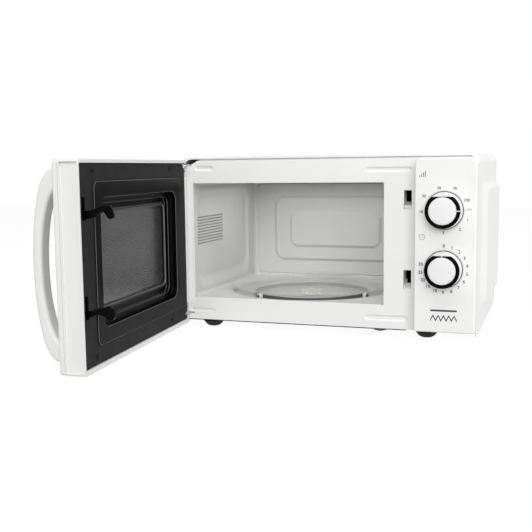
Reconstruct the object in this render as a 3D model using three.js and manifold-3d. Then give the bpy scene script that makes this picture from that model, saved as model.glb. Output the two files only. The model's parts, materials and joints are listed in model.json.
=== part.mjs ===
// Countertop microwave oven with a dial-operated grill, modelled in millimetres with +Z up.
// It stands with its door swung open. Each named mesh is one physical piece of the oven.
//
// Inside the group called cabinet, X runs to the right from the case's left side, Y runs back from
// the front of the face plate, and Z runs up from the face plate's bottom edge. The exported group
// moves that frame so that its origin lies on the table, under the middle of the whole object.

import * as THREE from 'three';
import { mergeVertices } from 'three/addons/utils/BufferGeometryUtils.js';
import Module from 'manifold-3d';

const wasm = await Module();
wasm.setup();

// ---------------------------------------------------------------- driving dimensions

const SHEET = 1;            // sheet metal
const GAP = 0.3;            // air between pieces that touch or are pressed together
const CASE = { width: 447, depth: 312, bottom: -6, top: 250, cornerRadius: 12, hem: 3, hemDepth: 6 };
const BULGE = {
  height: 8, base: { y: [30, 303], z: [22, 209] }, crown: { y: [68, 278], z: [36, 197] },
};
const REAR_SHEET = [CASE.depth - 2.5, CASE.depth - 1.3];
const PLATE = { side: 3.4, bottom: -1, top: 244.5, cornerRadius: 9 };
const CAVITY = { x: [17.2, 314.6], z: [33.6, 210], depth: 275, cornerRadius: 14 };
const WELL = { radius: 130, depth: 12 };
const PANEL = { left: 363.6, depth: 33, bottom: 3.5, top: 243.5, wall: 2.4, cornerRadii: [4, 4, 10, 6] };
const DIAL = { x: 404.2, timerZ: 91.7, powerZ: 172.5, radius: 26, faceRadius: 19.5, reach: 21 };
const SLOT = { x: [343.3, 354.3], upperZ: [171, 200], lowerZ: [55.5, 85] };
const PAN = { bottom: -4.5, flangeTop: 14 };
const FOOT = { bottom: -13.5, radius: 16.5, soleRadius: 12 };
const FEET = {
  front_left: [40.5, 19],
  front_right: [374.5, 19],
  rear_left: [46, 288],
  rear_right: [404, 288],
};

const HINGE = { x: 4.2, y: -6, pinRadius: 1.5, tongueZ: [8, 236.4], tongueThickness: 1.6 };
const DOOR = {
  openAngle: 85, panelOffset: 2.8, x: [-3.7, 358.3], z: [-5.5, 245.5], seam: -24, front: -31, rim: 2.4,
};
const INNER = { x: [4, 355.9], z: [0.5, 241.2] };
const CHOKE = { x: [27, 318], z: [22, 219.5], radius: 9 };
const RECESS = { x: [48, 302], z: [42, 200], radius: 15, depth: 17.3 };
const WINDOW = { x: [62, 286], z: [66, 177], radius: 10 };
const LATCH = { x: [341.5, 346.5], travel: 4 };
const DOOR_SLOT = { x: [340, 348], upperZ: [175, 202], lowerZ: [59, 87] };
const DOOR_SCREWS = {
  upper_left: [66, 233],
  upper_right: [317.4, 232.3],
  lower_left: [70, 10],
  lower_right: [320.6, 10],
};

const TURNTABLE = { x: 165.9, y: 139, radius: 132.5, glass: 3.6, rimHeight: 10.5 };
const ROLLER = { radius: 5.8, orbit: 98, width: 6, count: 3, start: 0.6 * Math.PI };
const RING = { inner: 88, outer: 93.5, height: 5.5 };
const WELL_FLOOR = CAVITY.z[0] - WELL.depth;
const FAN = { x: 385, z: 150, radius: 43, y: [276, 294], blades: 5 };
const SHROUD = { half: 52, wall: 2, y: [270, REAR_SHEET[0] - 1] };
const WAVEGUIDE = { x: [316.2, 350], y: [66, 200], z: [112, 196] };
const FEED = { y: [78, 128], z: [124, 184] };
const LAMP = { y: 236, z: 176 };
const GLAND = { x: 415, z: 40 };
const MAGNETRON = { y: 165, z: 154 };
const CORE = { x: [352, 418], y: [75, 155], z: [-2.9, 66], limb: [105, 125], window: [10, 54] };

// ---------------------------------------------------------------- materials

function finish(color, roughness, metalness = 0, opacity = 1) {
  return new THREE.MeshStandardMaterial({ color, roughness, metalness, opacity, transparent: opacity < 1 });
}

const FINISH = {
  whitePaint: finish(0xefefee, 0.35),
  whitePlastic: finish(0xf1f1f0, 0.4),
  cavityPaint: finish(0xc9cac9, 0.35),
  blackPaint: finish(0x17181a, 0.45),
  blackPlastic: finish(0x101113, 0.25),
  darkGreyPlastic: finish(0x3b3d40, 0.5),
  rubber: finish(0x1c1c1d, 0.8),
  zincSteel: finish(0xb4b7ba, 0.4, 0.9),
  brightSteel: finish(0xd5d7d9, 0.2, 1),
  darkSteel: finish(0x4a4c50, 0.5, 0.8),
  copper: finish(0xa85a32, 0.4, 0.7),
  aluminium: finish(0xc4c7ca, 0.35, 0.9),
  mica: finish(0xb9ab8f, 0.6),
  ceramic: finish(0xe9e5dc, 0.5),
  circuitBoard: finish(0x3f6b4a, 0.6),
  tintedGlass: finish(0x15171a, 0.1, 0, 0.6),
  clearGlass: finish(0xdfe8e6, 0.05, 0, 0.35),
  heaterGlass: finish(0xe4e0d8, 0.2, 0, 0.6),
};

// ---------------------------------------------------------------- shapes and solids

// A square-cornered block between two limits on each axis.
function block([x0, x1], [y0, y1], [z0, z1]) {
  const geometry = new THREE.BoxGeometry(x1 - x0, y1 - y0, z1 - z0);
  return geometry.translate((x0 + x1) / 2, (y0 + y1) / 2, (z0 + z1) / 2);
}

// A rectangle in any plane; its corner radii run lower left, lower right, upper right, upper left.
function rectangle([u0, u1], [v0, v1], radii = 0) {
  const [a, b, c, d] = Array.isArray(radii) ? radii : [radii, radii, radii, radii];
  const shape = new THREE.Shape();
  shape.moveTo(u0 + a, v0).lineTo(u1 - b, v0);
  if (b) shape.absarc(u1 - b, v0 + b, b, -Math.PI / 2, 0, false);
  shape.lineTo(u1, v1 - c);
  if (c) shape.absarc(u1 - c, v1 - c, c, 0, Math.PI / 2, false);
  shape.lineTo(u0 + d, v1);
  if (d) shape.absarc(u0 + d, v1 - d, d, Math.PI / 2, Math.PI, false);
  shape.lineTo(u0, v0 + a);
  if (a) shape.absarc(u0 + a, v0 + a, a, Math.PI, 1.5 * Math.PI, false);
  return shape;
}

function outline(points) {
  return new THREE.Shape(points.map(([u, v]) => new THREE.Vector2(u, v)));
}

function extrude(shape, depth, curveSegments) {
  return new THREE.ExtrudeGeometry(shape, { depth, bevelEnabled: false, curveSegments });
}

// A shape drawn in X and Z, and given its thickness along Y.
function slabAlongY(shape, [y0, y1], curveSegments = 4) {
  return extrude(shape, y1 - y0, curveSegments).rotateX(Math.PI / 2).translate(0, y1, 0);
}

// A shape drawn in X and Y, and given its thickness along Z.
function slabAlongZ(shape, [z0, z1], curveSegments = 4) {
  return extrude(shape, z1 - z0, curveSegments).translate(0, 0, z0);
}

// A shape drawn in Y and Z, and given its thickness along X.
function slabAlongX(shape, [x0, x1], curveSegments = 4) {
  return extrude(shape, x1 - x0, curveSegments).rotateX(Math.PI / 2).rotateZ(Math.PI / 2).translate(x0, 0, 0);
}

// A round bar along one axis; centre gives the two other coordinates in X, Y, Z order.
function bar(axis, [u, v], [low, high], radius, sides = 16, endRadius = radius) {
  const geometry = new THREE.CylinderGeometry(endRadius, radius, high - low, sides);
  const middle = (low + high) / 2;
  if (axis === 'x') return geometry.rotateZ(-Math.PI / 2).translate(middle, u, v);
  if (axis === 'y') return geometry.translate(u, middle, v);
  return geometry.rotateX(Math.PI / 2).translate(u, v, middle);
}

// A turned piece; each profile point is [radius, distance along the axis].
function turned(axis, profile, sides) {
  const points = profile.map(([radius, along]) => new THREE.Vector2(radius, along));
  const geometry = new THREE.LatheGeometry(points, sides);
  if (axis === 'z') geometry.rotateX(Math.PI / 2);
  if (axis === 'x') geometry.rotateZ(-Math.PI / 2);
  return faceOutwards(geometry);
}

// A block whose far side in X is smaller than its near side, as a stamped panel is.
function frustum(base, crown, [x0, x1]) {
  const geometry = new THREE.BoxGeometry(1, 1, 1);
  const place = geometry.attributes.position;
  for (let i = 0; i < place.count; i += 1) {
    const far = place.getX(i) > 0;
    const side = far ? crown : base;
    const y = side.y[place.getY(i) > 0 ? 1 : 0];
    const z = side.z[place.getZ(i) > 0 ? 1 : 0];
    place.setXYZ(i, far ? x1 : x0, y, z);
  }
  return geometry;
}

function toSolid(geometry) {
  const bare = geometry.clone();
  bare.deleteAttribute('normal');
  bare.deleteAttribute('uv');
  const merged = mergeVertices(bare, 1e-4);
  const solid = new wasm.Manifold(new wasm.Mesh({
    numProp: 3,
    vertProperties: new Float32Array(merged.attributes.position.array),
    triVerts: new Uint32Array(merged.index.array),
  }));
  return solid.volume() < 0 ? toSolid(turnedInsideOut(merged)) : solid;
}

function turnedInsideOut(geometry) {
  const flipped = geometry.clone();
  const index = Array.from(geometry.index.array);
  for (let i = 0; i < index.length; i += 3) [index[i], index[i + 1]] = [index[i + 1], index[i]];
  flipped.setIndex(index);
  return flipped;
}

function toGeometry(solid) {
  const mesh = solid.getMesh();
  const geometry = new THREE.BufferGeometry();
  geometry.setAttribute('position', new THREE.BufferAttribute(mesh.vertProperties, mesh.numProp));
  geometry.setIndex(new THREE.BufferAttribute(mesh.triVerts, 1));
  geometry.computeVertexNormals();
  return geometry;
}

function faceOutwards(geometry) {
  return toGeometry(toSolid(geometry));
}

function join(first, ...others) {
  return toGeometry(others.reduce((solid, other) => solid.add(toSolid(other)), toSolid(first)));
}

function cut(first, ...others) {
  return toGeometry(others.reduce((solid, other) => solid.subtract(toSolid(other)), toSolid(first)));
}

function grow([low, high], amount) {
  return [low - amount, high + amount];
}

function around(middle, half) {
  return [middle - half, middle + half];
}

function range(count) {
  return Array.from({ length: count }, (_, i) => i);
}

function add(parent, name, geometry, material) {
  const mesh = new THREE.Mesh(geometry, material);
  mesh.name = name;
  parent.add(mesh);
  return mesh;
}

// ---------------------------------------------------------------- cabinet shells

// The painted wrap: top and both sides in one folded sheet, with a stamped bulge in each side.
function outerCase() {
  const { width, depth, bottom, top, cornerRadius, hem, hemDepth } = CASE;
  const profile = (inset, lowest) => rectangle(
    [inset, width - inset], [lowest, top - inset], [0, 0, cornerRadius - inset, cornerRadius - inset]);
  const { base, crown, height } = BULGE;
  const inner = {
    base: { y: grow(base.y, -SHEET), z: grow(base.z, -SHEET) },
    crown: { y: grow(crown.y, -SHEET), z: grow(crown.z, -SHEET) },
  };
  const overlap = 2;
  const outerBulges = [
    frustum(base, crown, [width - overlap * 0.25, width + height]),
    frustum(base, crown, [overlap * 0.25, -height]),
  ];
  const innerBulges = [
    frustum(inner.base, inner.crown, [width - SHEET - 0.1, width + height - SHEET]),
    frustum(inner.base, inner.crown, [SHEET + 0.1, SHEET - height]),
  ];
  const skin = join(slabAlongY(profile(0, bottom), [0, depth], 5), ...outerBulges);
  return cut(
    skin,
    slabAlongY(profile(SHEET, bottom - overlap), [hemDepth, depth + overlap], 5),
    slabAlongY(profile(hem, bottom - overlap), [-overlap, hemDepth + overlap], 5),
    ...innerBulges,
  );
}

function basePan() {
  const { bottom, flangeTop } = PAN;
  const x = grow([0, CASE.width], -SHEET - 0.4);
  const y = [CASE.hemDepth + GAP, REAR_SHEET[0] - 0.5];
  const tray = block(x, y, [bottom, flangeTop]);
  const inside = block(grow(x, -SHEET), grow(y, -SHEET), [bottom + SHEET, flangeTop + 1]);
  const frontNotch = block(grow(x, 1), [y[0] - 1, y[0] + SHEET + 0.5], [-GAP, flangeTop + 1]);
  const vents = range(8).map((i) => block([355 + i * 9, 359 + i * 9], [168, 196], [bottom - 1, 0]));
  return cut(tray, inside, frontNotch, ...vents);
}

function rearPanel() {
  const side = SHEET + GAP;
  const cutDepth = grow(REAR_SHEET, 1);
  const sheet = slabAlongY(
    rectangle([side, CASE.width - side], [PAN.bottom, CASE.top - side], [0, 0, 10, 10]), REAR_SHEET);
  const fanVents = range(10).map((i) => block([350, 420], cutDepth, [108 + i * 9, 112 + i * 9]));
  const cavityVents = range(6).map((i) => block([90 + i * 14, 95 + i * 14], cutDepth, [214, 236]));
  const cordHole = bar('y', [GLAND.x, GLAND.z], cutDepth, 8);
  return cut(sheet, ...fanVents, ...cavityVents, cordHole);
}

// The painted front sheet: the cavity mouth, the latch slots, and the opening behind the dials.
function facePlate() {
  const { side, bottom, top, cornerRadius } = PLATE;
  const through = [-2, 4];
  const sheet = slabAlongY(
    rectangle([side, CASE.width - side], [bottom, top], [2, 2, cornerRadius, cornerRadius]), [0, SHEET]);
  const beads = [
    [[27.5, 49.5], [228.5, 237]],
    [[286.5, 354.5], [224.5, 232]],
    [[8.5, 51.5], [9.5, 16.5]],
    [[286.5, 350.5], [9.5, 19]],
  ].map(([x, z]) => slabAlongY(rectangle(x, z, (z[1] - z[0]) / 2 - 0.1), [-0.6, 0.5], 3));
  const holes = [
    slabAlongY(rectangle(CAVITY.x, CAVITY.z, 3), through, 3),
    block(SLOT.x, through, SLOT.upperZ),
    block(SLOT.x, through, SLOT.lowerZ),
    block([376, 434], through, [30, 224]),
  ];
  const hingeNotches = HINGE.tongueZ.map((z) => (
    block([4.5, 15.5], through, grow([z, z + HINGE.tongueThickness], GAP))));
  return cut(sheet, ...beads, ...holes, ...hingeNotches);
}

// The painted steel liner: open at the front, with a round well for the turntable, a stepped back
// wall and the grill's ceiling slots.
function cavityShell() {
  const { x, z, depth, cornerRadius } = CAVITY;
  const front = SHEET + GAP;
  const leftWall = [x[0] - 3, x[0] + 1];
  const rightWall = [x[1] - 1, x[1] + 3];
  const middle = [TURNTABLE.x, TURNTABLE.y];
  const plan = (inset, y0) => rectangle(
    grow(x, inset), [y0, depth + inset], [0, 0, cornerRadius + inset, cornerRadius + inset]);
  const box = slabAlongZ(plan(SHEET, front), grow(z, SHEET), 5);
  const pan = bar('z', middle, [WELL_FLOOR - SHEET, z[0]], WELL.radius + SHEET, 48);
  const inside = slabAlongZ(plan(0, front - 2), z, 5);
  const well = bar('z', middle, [WELL_FLOOR, z[0] + 1], WELL.radius, 48);
  const steps = [
    slabAlongY(rectangle([58, 277], [61, 180.5], 14), [depth - 4, depth + 0.5], 3),
    slabAlongY(rectangle([91.5, 255.5], [91, 154], 10), [depth - 8, depth - 3.5], 3),
  ];
  const ceilingSlots = range(7).map((i) => (
    block([80, 251], [95 + i * 14, 103 + i * 14], [z[1] - 1, z[1] + 3])));
  const shaftHole = bar('z', middle, [WELL_FLOOR - 4, WELL_FLOOR + 1], 7);
  const feedWindow = block(rightWall, FEED.y, FEED.z);
  const lampHole = bar('x', [LAMP.y, LAMP.z], rightWall, 9, 12);
  const exhaust = range(5).map((i) => block(leftWall, [20, 122], [114 + i * 9.5, 116.5 + i * 9.5]));
  const liner = join(cut(join(box, pan), inside, well), ...steps);
  return cut(liner, ...ceilingSlots, shaftHole, feedWindow, lampHole, ...exhaust);
}

// ---------------------------------------------------------------- control side

function controlPanel() {
  const { left, depth, bottom, top, wall, cornerRadii } = PANEL;
  const x = [left, CASE.width];
  const skin = slabAlongY(rectangle(x, [bottom, top], cornerRadii), [-depth, -GAP], 5);
  const innerRadii = cornerRadii.map((radius) => radius - wall);
  const inside = slabAlongY(
    rectangle(grow(x, -wall), [bottom + wall, top - wall], innerRadii), [-depth + wall, 1], 5);
  const shaftHoles = [DIAL.timerZ, DIAL.powerZ].map((z) => bar('y', [DIAL.x, z], [-depth - 1, -depth + 4], 5));
  return cut(skin, inside, ...shaftHoles);
}

// A dial knob about the Y axis: flared skirt, waisted collar and a flat face with a raised pointer.
function dialKnob() {
  const back = -PANEL.depth - 0.6;
  const face = back - DIAL.reach;
  const body = turned('y', [
    [0, face], [DIAL.faceRadius - 1, face], [DIAL.faceRadius, face + 1], [DIAL.radius - 2.5, face + 4],
    [DIAL.radius - 1.5, back - 4], [DIAL.radius, back - 2], [DIAL.radius, back], [0, back],
  ], 32);
  const bore = bar('y', [0, 0], [back - 10, back + 1], 3.3, 12);
  const pointer = block([-0.9, 0.9], [face - 0.6, face + 1], [9, DIAL.faceRadius - 2]);
  return cut(join(body, pointer), bore);
}

function dialShaft() {
  const front = -PANEL.depth - 10;
  return bar('y', [0, 0], [front, -PANEL.depth + PANEL.wall + GAP], 3, 12);
}

function timerUnit() {
  const front = -PANEL.depth + PANEL.wall + 2 * GAP;
  const body = slabAlongY(
    rectangle(around(DIAL.x, 24), around(DIAL.timerZ, 24.5), 4), [front, 8]);
  const gearCase = bar('y', [DIAL.x, DIAL.timerZ], [7, 14], 19, 20);
  const terminals = [74, 82, 101, 109].map((z) => (
    block([DIAL.x + 23, DIAL.x + 30], [-12, -4], [z, z + 1])));
  return join(body, gearCase, ...terminals);
}

function powerSelector() {
  const front = -PANEL.depth + PANEL.wall + 2 * GAP;
  const body = slabAlongY(
    rectangle(around(DIAL.x, 20), around(DIAL.powerZ, 19), 4), [front, -2]);
  const terminals = [160, 170, 180].map((z) => block(around(DIAL.x, 13), [-3, 6], [z, z + 1]));
  return join(body, ...terminals);
}

function timerBell() {
  const front = -14;
  return turned('y', [
    [0, front + 9], [2.5, front + 9], [2.5, front + 1.2], [15, front + 1.2], [19, front + 6],
    [20, front + 10], [21, front + 10], [20, front + 5], [15.5, front], [0, front],
  ], 20).translate(DIAL.x, 0, 42);
}

// ---------------------------------------------------------------- latching

// The plastic carrier behind the face plate: two catches that the door's hooks drop behind.
function latchBoard() {
  const face = block([336, 363], [SHEET + GAP, 4], [46, 212]);
  const windows = [SLOT.upperZ, SLOT.lowerZ].map((z) => block(SLOT.x, [0, 5], z));
  const ribs = [[336, 338.5], [360.5, 363]].map((x) => block(x, [3.5, 48], [46, 212]));
  const catches = [[166, 177], [48, 61.5]].map((z) => block([338, 361], [10, 28], z));
  return join(cut(face, ...windows), ...ribs, ...catches);
}

function doorSwitch(z) {
  const body = block([339, 360], [39, 49], [z, z + 26]);
  const plunger = block([347, 351], [37.5, 40], [z + 11, z + 15]);
  return join(body, plunger);
}

// A hinge arm: a tongue that reaches forward through the face plate, with the pin at its tip and a
// root plate bolted behind the sheet.
function hingeArm(z, pinZ, rootZ) {
  const tongue = block([HINGE.x - 4, HINGE.x + 5], [HINGE.y - 4, 12], [z, z + HINGE.tongueThickness]);
  const inside = block([4.9, 15], [2.5, 12], [z, z + HINGE.tongueThickness]);
  const root = block([4.9, 15], [2.5, 4], rootZ);
  const pin = bar('z', [HINGE.x, HINGE.y], pinZ, HINGE.pinRadius, 16);
  const clearCase = block([-2, 4.9], [-GAP, 13], [z - 1, z + 3]);
  return join(cut(tongue, clearCase), inside, root, pin);
}

// ---------------------------------------------------------------- microwave supply

function waveguide() {
  const { x, y, z } = WAVEGUIDE;
  const inner = block(grow(x, -SHEET), grow(y, -SHEET), grow(z, -SHEET));
  const feed = block([x[0] - 1, x[0] + 3], FEED.y, FEED.z);
  const socket = bar('x', [MAGNETRON.y, MAGNETRON.z], [x[1] - 3, x[1] + 1], 12, 20);
  return cut(block(x, y, z), inner, feed, socket);
}

// The mica sheet over the feed window, inside the liner.
function waveguideCover() {
  return block([CAVITY.x[1] - 0.8, CAVITY.x[1] - GAP], grow(FEED.y, 6), grow(FEED.z, 6));
}

// The magnetron: its antenna enters the waveguide, and its finned anode sits in a steel yoke.
function magnetron() {
  const base = WAVEGUIDE.x[1] + GAP;
  const y = [MAGNETRON.y - 40, MAGNETRON.y + 40];
  const z = [MAGNETRON.z - 36, MAGNETRON.z + 36];
  const mountPlate = block([base, base + 2], y, z);
  const farPlate = block([base + 52, base + 54], y, z);
  const yokeSides = [[z[0], z[0] + 2], [z[1] - 2, z[1]]].map((level) => block([base, base + 54], y, level));
  const anode = bar('x', [MAGNETRON.y, MAGNETRON.z], [base + 1, base + 53], 18, 20);
  const fins = range(5).map((i) => block([base + 10 + i * 7, base + 11 + i * 7], grow(y, -2), grow(z, -1)));
  const antenna = bar('x', [MAGNETRON.y, MAGNETRON.z], [base - 22, base + 1], 8, 16, 8);
  const filterBox = block([base + 53, base + 80], grow(y, -12), grow(z, -10));
  return join(mountPlate, farPlate, ...yokeSides, anode, ...fins, antenna, filterBox);
}

function transformerCore() {
  const { x, y, z, limb, window } = CORE;
  const stack = block(x, y, z);
  const windows = [[88, limb[0]], [limb[1], 142]].map((side) => block(grow(x, 1), side, window));
  const mountFlange = block(grow(x, 8), [y[0] - 6, y[1] + 6], [z[0], z[0] + 3]);
  return join(cut(stack, ...windows), mountFlange);
}

function transformerCoils() {
  const { x, limb, window } = CORE;
  const coil = slabAlongZ(rectangle(grow(x, 11), [88.4, 141.6], 8), grow(window, -0.4));
  const core = block(grow(x, 0.4), grow(limb, 0.4), [0, 70]);
  return cut(coil, core);
}

function capacitor() {
  const can = slabAlongY(rectangle([345, 397], [PAN.bottom + SHEET + GAP, 28], 15), [200, 262], 5);
  const terminals = [[358, 363], [379, 384]].map((x) => block(x, [188, 201], [12, 13.5]));
  return join(can, ...terminals);
}

function highVoltageDiode() {
  const body = bar('x', [194, 20], [364, 378], 3.4, 12);
  const leads = bar('x', [194, 20], [356, 386], 0.8, 8);
  return join(body, leads);
}

// ---------------------------------------------------------------- cooling, grill and lamp

function fanShroud() {
  const { half, wall, y } = SHROUD;
  const middle = [FAN.x, FAN.z];
  const front = [y[0], y[0] + wall];
  const cutDepth = [y[0] - 1, y[0] + 4];
  const housing = block(around(FAN.x, half), y, around(FAN.z, half));
  const inside = block(around(FAN.x, half - wall), [y[0] + wall, y[1] + 1], around(FAN.z, half - wall));
  const mouth = bar('y', middle, cutDepth, FAN.radius + 3, 32);
  const spokes = [1, 3].map((quarter) => (
    block(around(0, half - 1), front, around(0, 3)).rotateY(quarter * Math.PI / 4).translate(FAN.x, 0, FAN.z)));
  const hub = bar('y', middle, front, 12, 20);
  const shaftHole = bar('y', middle, cutDepth, 3, 12);
  return cut(join(cut(housing, inside, mouth), ...spokes, hub), shaftHole);
}

function fanMotor() {
  const end = SHROUD.y[0] - GAP;
  const stack = slabAlongY(rectangle(around(FAN.x, 24), around(FAN.z, 20), 3), [end - 24, end - 8]);
  const coil = slabAlongY(rectangle(around(FAN.x, 14), [FAN.z - 32, FAN.z - 12], 4), [end - 28, end - 5]);
  const bearing = bar('y', [FAN.x, FAN.z], [end - 30, end], 8, 16);
  return join(stack, coil, bearing);
}

function coolingFan() {
  const [front, back] = FAN.y;
  const hub = bar('y', [0, 0], [front, back], 11, 20);
  const shaft = bar('y', [0, 0], [SHROUD.y[0] + GAP, front + 1], 2, 12);
  const blade = block([8, FAN.radius], [-1, 1], [-11, 11]).rotateX(Math.PI / 5.5);
  const blades = range(FAN.blades).map((i) => blade.clone()
    .rotateY(2 * Math.PI * i / FAN.blades).translate(0, (front + back) / 2, 0));
  return join(hub, shaft, ...blades);
}

function grillReflector() {
  const z = [CAVITY.z[1] + SHEET + GAP, 236];
  const x = [68, 263];
  const y = [88, 194];
  return cut(block(x, y, z), block(grow(x, -SHEET), grow(y, -SHEET), [z[0] - 1, z[1] - SHEET]));
}

function grillTube(y) {
  const tube = bar('x', [y, 222], [76, 255], 5, 16);
  const caps = [[70, 82], [249, 261]].map((x) => block(x, [y - 6.5, y + 6.5], [215.5, 228.5]));
  return join(tube, ...caps);
}

function cavityLamp() {
  const base = bar('x', [LAMP.y, LAMP.z], [332, 350], 8, 16);
  const bulb = new THREE.SphereGeometry(8, 16, 10).translate(326, LAMP.y, LAMP.z);
  return join(base, bulb);
}

function filterBoard() {
  const board = block([336, 436], [62, 112], [232, 233.6]);
  const choke = bar('z', [362, 86], [218, 232.5], 12, 20);
  const suppressor = block([388, 410], [70, 82], [216, 232.5]);
  const fuse = bar('x', [100, 226], [386, 416], 3, 12);
  const clips = [388, 411].map((x) => block([x, x + 3], [98, 102], [223, 232.5]));
  return join(board, choke, suppressor, fuse, ...clips);
}

// A grommet in the rear panel that the supply lead would leave through.
function cordGland() {
  const middle = [GLAND.x, GLAND.z];
  const [inner, outer] = REAR_SHEET;
  const body = bar('y', middle, [inner - 3.5, outer + 2.3], 7.7, 20);
  const flange = bar('y', middle, [outer + GAP, outer + 3.3], 11, 20);
  const bore = bar('y', middle, [inner - 4.5, outer + 4.3], 3.8, 12);
  return cut(join(body, flange), bore);
}

function foot([x, y]) {
  const top = PAN.bottom - GAP;
  return turned('z', [
    [0, FOOT.bottom], [FOOT.soleRadius, FOOT.bottom], [FOOT.soleRadius + 2, FOOT.bottom + 1.5],
    [FOOT.radius, top - 1.5], [FOOT.radius, top], [0, top],
  ], 24).translate(x, y, 0);
}

// ---------------------------------------------------------------- turntable

function turntableMotor() {
  const top = WELL_FLOOR - SHEET - 2;
  const can = bar('z', [TURNTABLE.x, TURNTABLE.y], [top - 15, top], 25, 28);
  const ears = block(around(TURNTABLE.x, 34), around(TURNTABLE.y, 5), [top - 1.6, top]);
  return join(can, ears);
}

// The drive hub about the Z axis: a shaft from the motor and three lobes that key into the glass.
function turntableCoupler() {
  const shaft = bar('z', [0, 0], [WELL_FLOOR - SHEET - 2 + GAP, WELL_FLOOR + 3], 4.5, 16);
  const disc = bar('z', [0, 0], [WELL_FLOOR + 2, WELL_FLOOR + 5], 12, 24);
  const lobes = range(ROLLER.count).map((i) => (
    block([6, 20], [-4, 4], [WELL_FLOOR + 3.5, WELL_FLOOR + 10.5]).rotateZ(rollerAngle(i))));
  return join(shaft, disc, ...lobes);
}

// The glass plate: a flat middle, a raised rim, and lugs under it that the drive lobes push on.
function turntablePlate() {
  const { radius, glass, rimHeight } = TURNTABLE;
  const bottom = WELL_FLOOR + 2 * ROLLER.radius + GAP;
  const top = bottom + glass;
  const rim = bottom + rimHeight;
  const plate = turned('z', [
    [0, bottom], [106, bottom], [113, bottom + 1.5], [126, bottom + 5.5], [radius, rim - 2.4],
    [radius, rim], [radius - 3, rim], [124, top + 4.4], [112, top + 1.6],
    [96, top], [0, top],
  ], 64);
  const lugs = range(ROLLER.count).map((i) => (
    block([8, 18], [-2, 2], [WELL_FLOOR + 7, bottom + 1]).rotateZ(rollerAngle(i) + Math.PI)));
  return join(plate, ...lugs);
}

function rollerAngle(i) {
  return ROLLER.start + 2 * Math.PI * i / ROLLER.count;
}

// The plastic carrier ring, with a stub axle for each roller.
function rollerRing() {
  const centre = WELL_FLOOR + ROLLER.radius;
  const ring = turned('z', [
    [RING.inner, centre - RING.height / 2], [RING.outer, centre - RING.height / 2],
    [RING.outer, centre + RING.height / 2], [RING.inner, centre + RING.height / 2],
    [RING.inner, centre - RING.height / 2],
  ], 48);
  const axle = bar('x', [0, 0], [RING.outer - 1, ROLLER.orbit + 4.5], 1.8, 12).translate(0, 0, centre);
  const axles = range(ROLLER.count).map((i) => axle.clone().rotateZ(rollerAngle(i)));
  return join(ring, ...axles);
}

// A small wheel about the X axis, bored for its stub axle.
function rollerWheel() {
  const half = ROLLER.width / 2;
  const r = ROLLER.radius - GAP / 2;
  const bore = 2.2;
  return turned('x', [
    [bore, -half], [r - 1, -half], [r, 1 - half], [r, half - 1], [r - 1, half], [bore, half], [bore, -half],
  ], 16);
}

// ---------------------------------------------------------------- door
// In the door's own frame X runs from the hinge axis to the free edge, Y is 0 on the black inner
// panel and negative towards the outside, and Z is the cabinet's.

function hingePockets() {
  return HINGE.tongueZ.map((z) => block([-5, 12], [-9.5, 8], [z - 2, z + HINGE.tongueThickness + 2]));
}

// The white rear ring of the door: its four edges, and the rim around the black panel.
function doorSurround() {
  const y = [DOOR.seam + GAP, DOOR.rim];
  const ring = slabAlongY(rectangle(DOOR.x, DOOR.z, 3), y, 3);
  const inside = slabAlongY(rectangle(INNER.x, INNER.z, 2), grow(y, 1), 3);
  const pinPockets = [[9, 26], [220, 236]].map((z) => block([-2.6, 12], [-9.5, 0.9], z));
  const hingeSideRelief = block([-5, 4.1], [0.4, 8], grow(DOOR.z, 1));
  return cut(ring, inside, hingeSideRelief, ...hingePockets(), ...pinPockets);
}

function doorFront() {
  const wall = 2.5;
  const y = [DOOR.front, DOOR.seam];
  const skin = slabAlongY(rectangle(DOOR.x, DOOR.z, 5), y, 4);
  const inside = slabAlongY(rectangle(grow(DOOR.x, -wall), grow(DOOR.z, -wall), 3), [y[0] + wall, y[1] + 1], 4);
  const opening = slabAlongY(rectangle([38, 312], [38, 208], 14), [y[0] - 1, y[0] + wall + 1], 5);
  return cut(skin, inside, opening);
}

function doorWindow() {
  const y = DOOR.front + 2.5 + GAP;
  return slabAlongY(rectangle([28, 322], [28, 218], 8), [y, y + 3], 3);
}

// The black steel inner frame: a flange around a deep recess whose floor is open at the window.
function doorFrame() {
  const wall = 1.2;
  const sunk = (clearance, y) => slabAlongY(
    rectangle(grow(RECESS.x, clearance), grow(RECESS.z, clearance), RECESS.radius + clearance), y);
  const flange = slabAlongY(rectangle(grow(INNER.x, -0.4), grow(INNER.z, -0.4), 3), [-wall, 0], 3);
  const trough = sunk(1.8 + wall, [-RECESS.depth - wall, -0.5]);
  const hollow = sunk(1.8, [-RECESS.depth, 1]);
  const window = slabAlongY(rectangle(WINDOW.x, WINDOW.z, WINDOW.radius), [-25, 1]);
  const hookSlots = [DOOR_SLOT.upperZ, DOOR_SLOT.lowerZ].map((z) => block(DOOR_SLOT.x, [-3, 1], z));
  const screwHoles = Object.values(DOOR_SCREWS).map((centre) => bar('y', centre, [-3, 1], 1.9, 12));
  const shell = cut(join(flange, trough), hollow, window, ...hookSlots, ...screwHoles, ...hingePockets());
  const ears = [[18, 19.6], [228, 229.6]].map((z) => block([-2.3, 10], [-8, -0.5], z));
  const pinHoles = bar('z', [0, -DOOR.panelOffset], [10, 235], HINGE.pinRadius + GAP, 16);
  return cut(join(shell, ...ears), pinHoles);
}

// The black moulding over the choke slots, which lines the recess walls.
function doorChokeCover() {
  const y = [GAP, 1.5];
  const face = slabAlongY(rectangle(CHOKE.x, CHOKE.z, CHOKE.radius), y);
  const lining = slabAlongY(
    rectangle(grow(RECESS.x, 1.3), grow(RECESS.z, 1.3), RECESS.radius + 1.3), [-RECESS.depth + 1.6, 1]);
  const opening = slabAlongY(rectangle(RECESS.x, RECESS.z, RECESS.radius), [-RECESS.depth, 3]);
  return cut(join(face, lining), opening);
}

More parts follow.
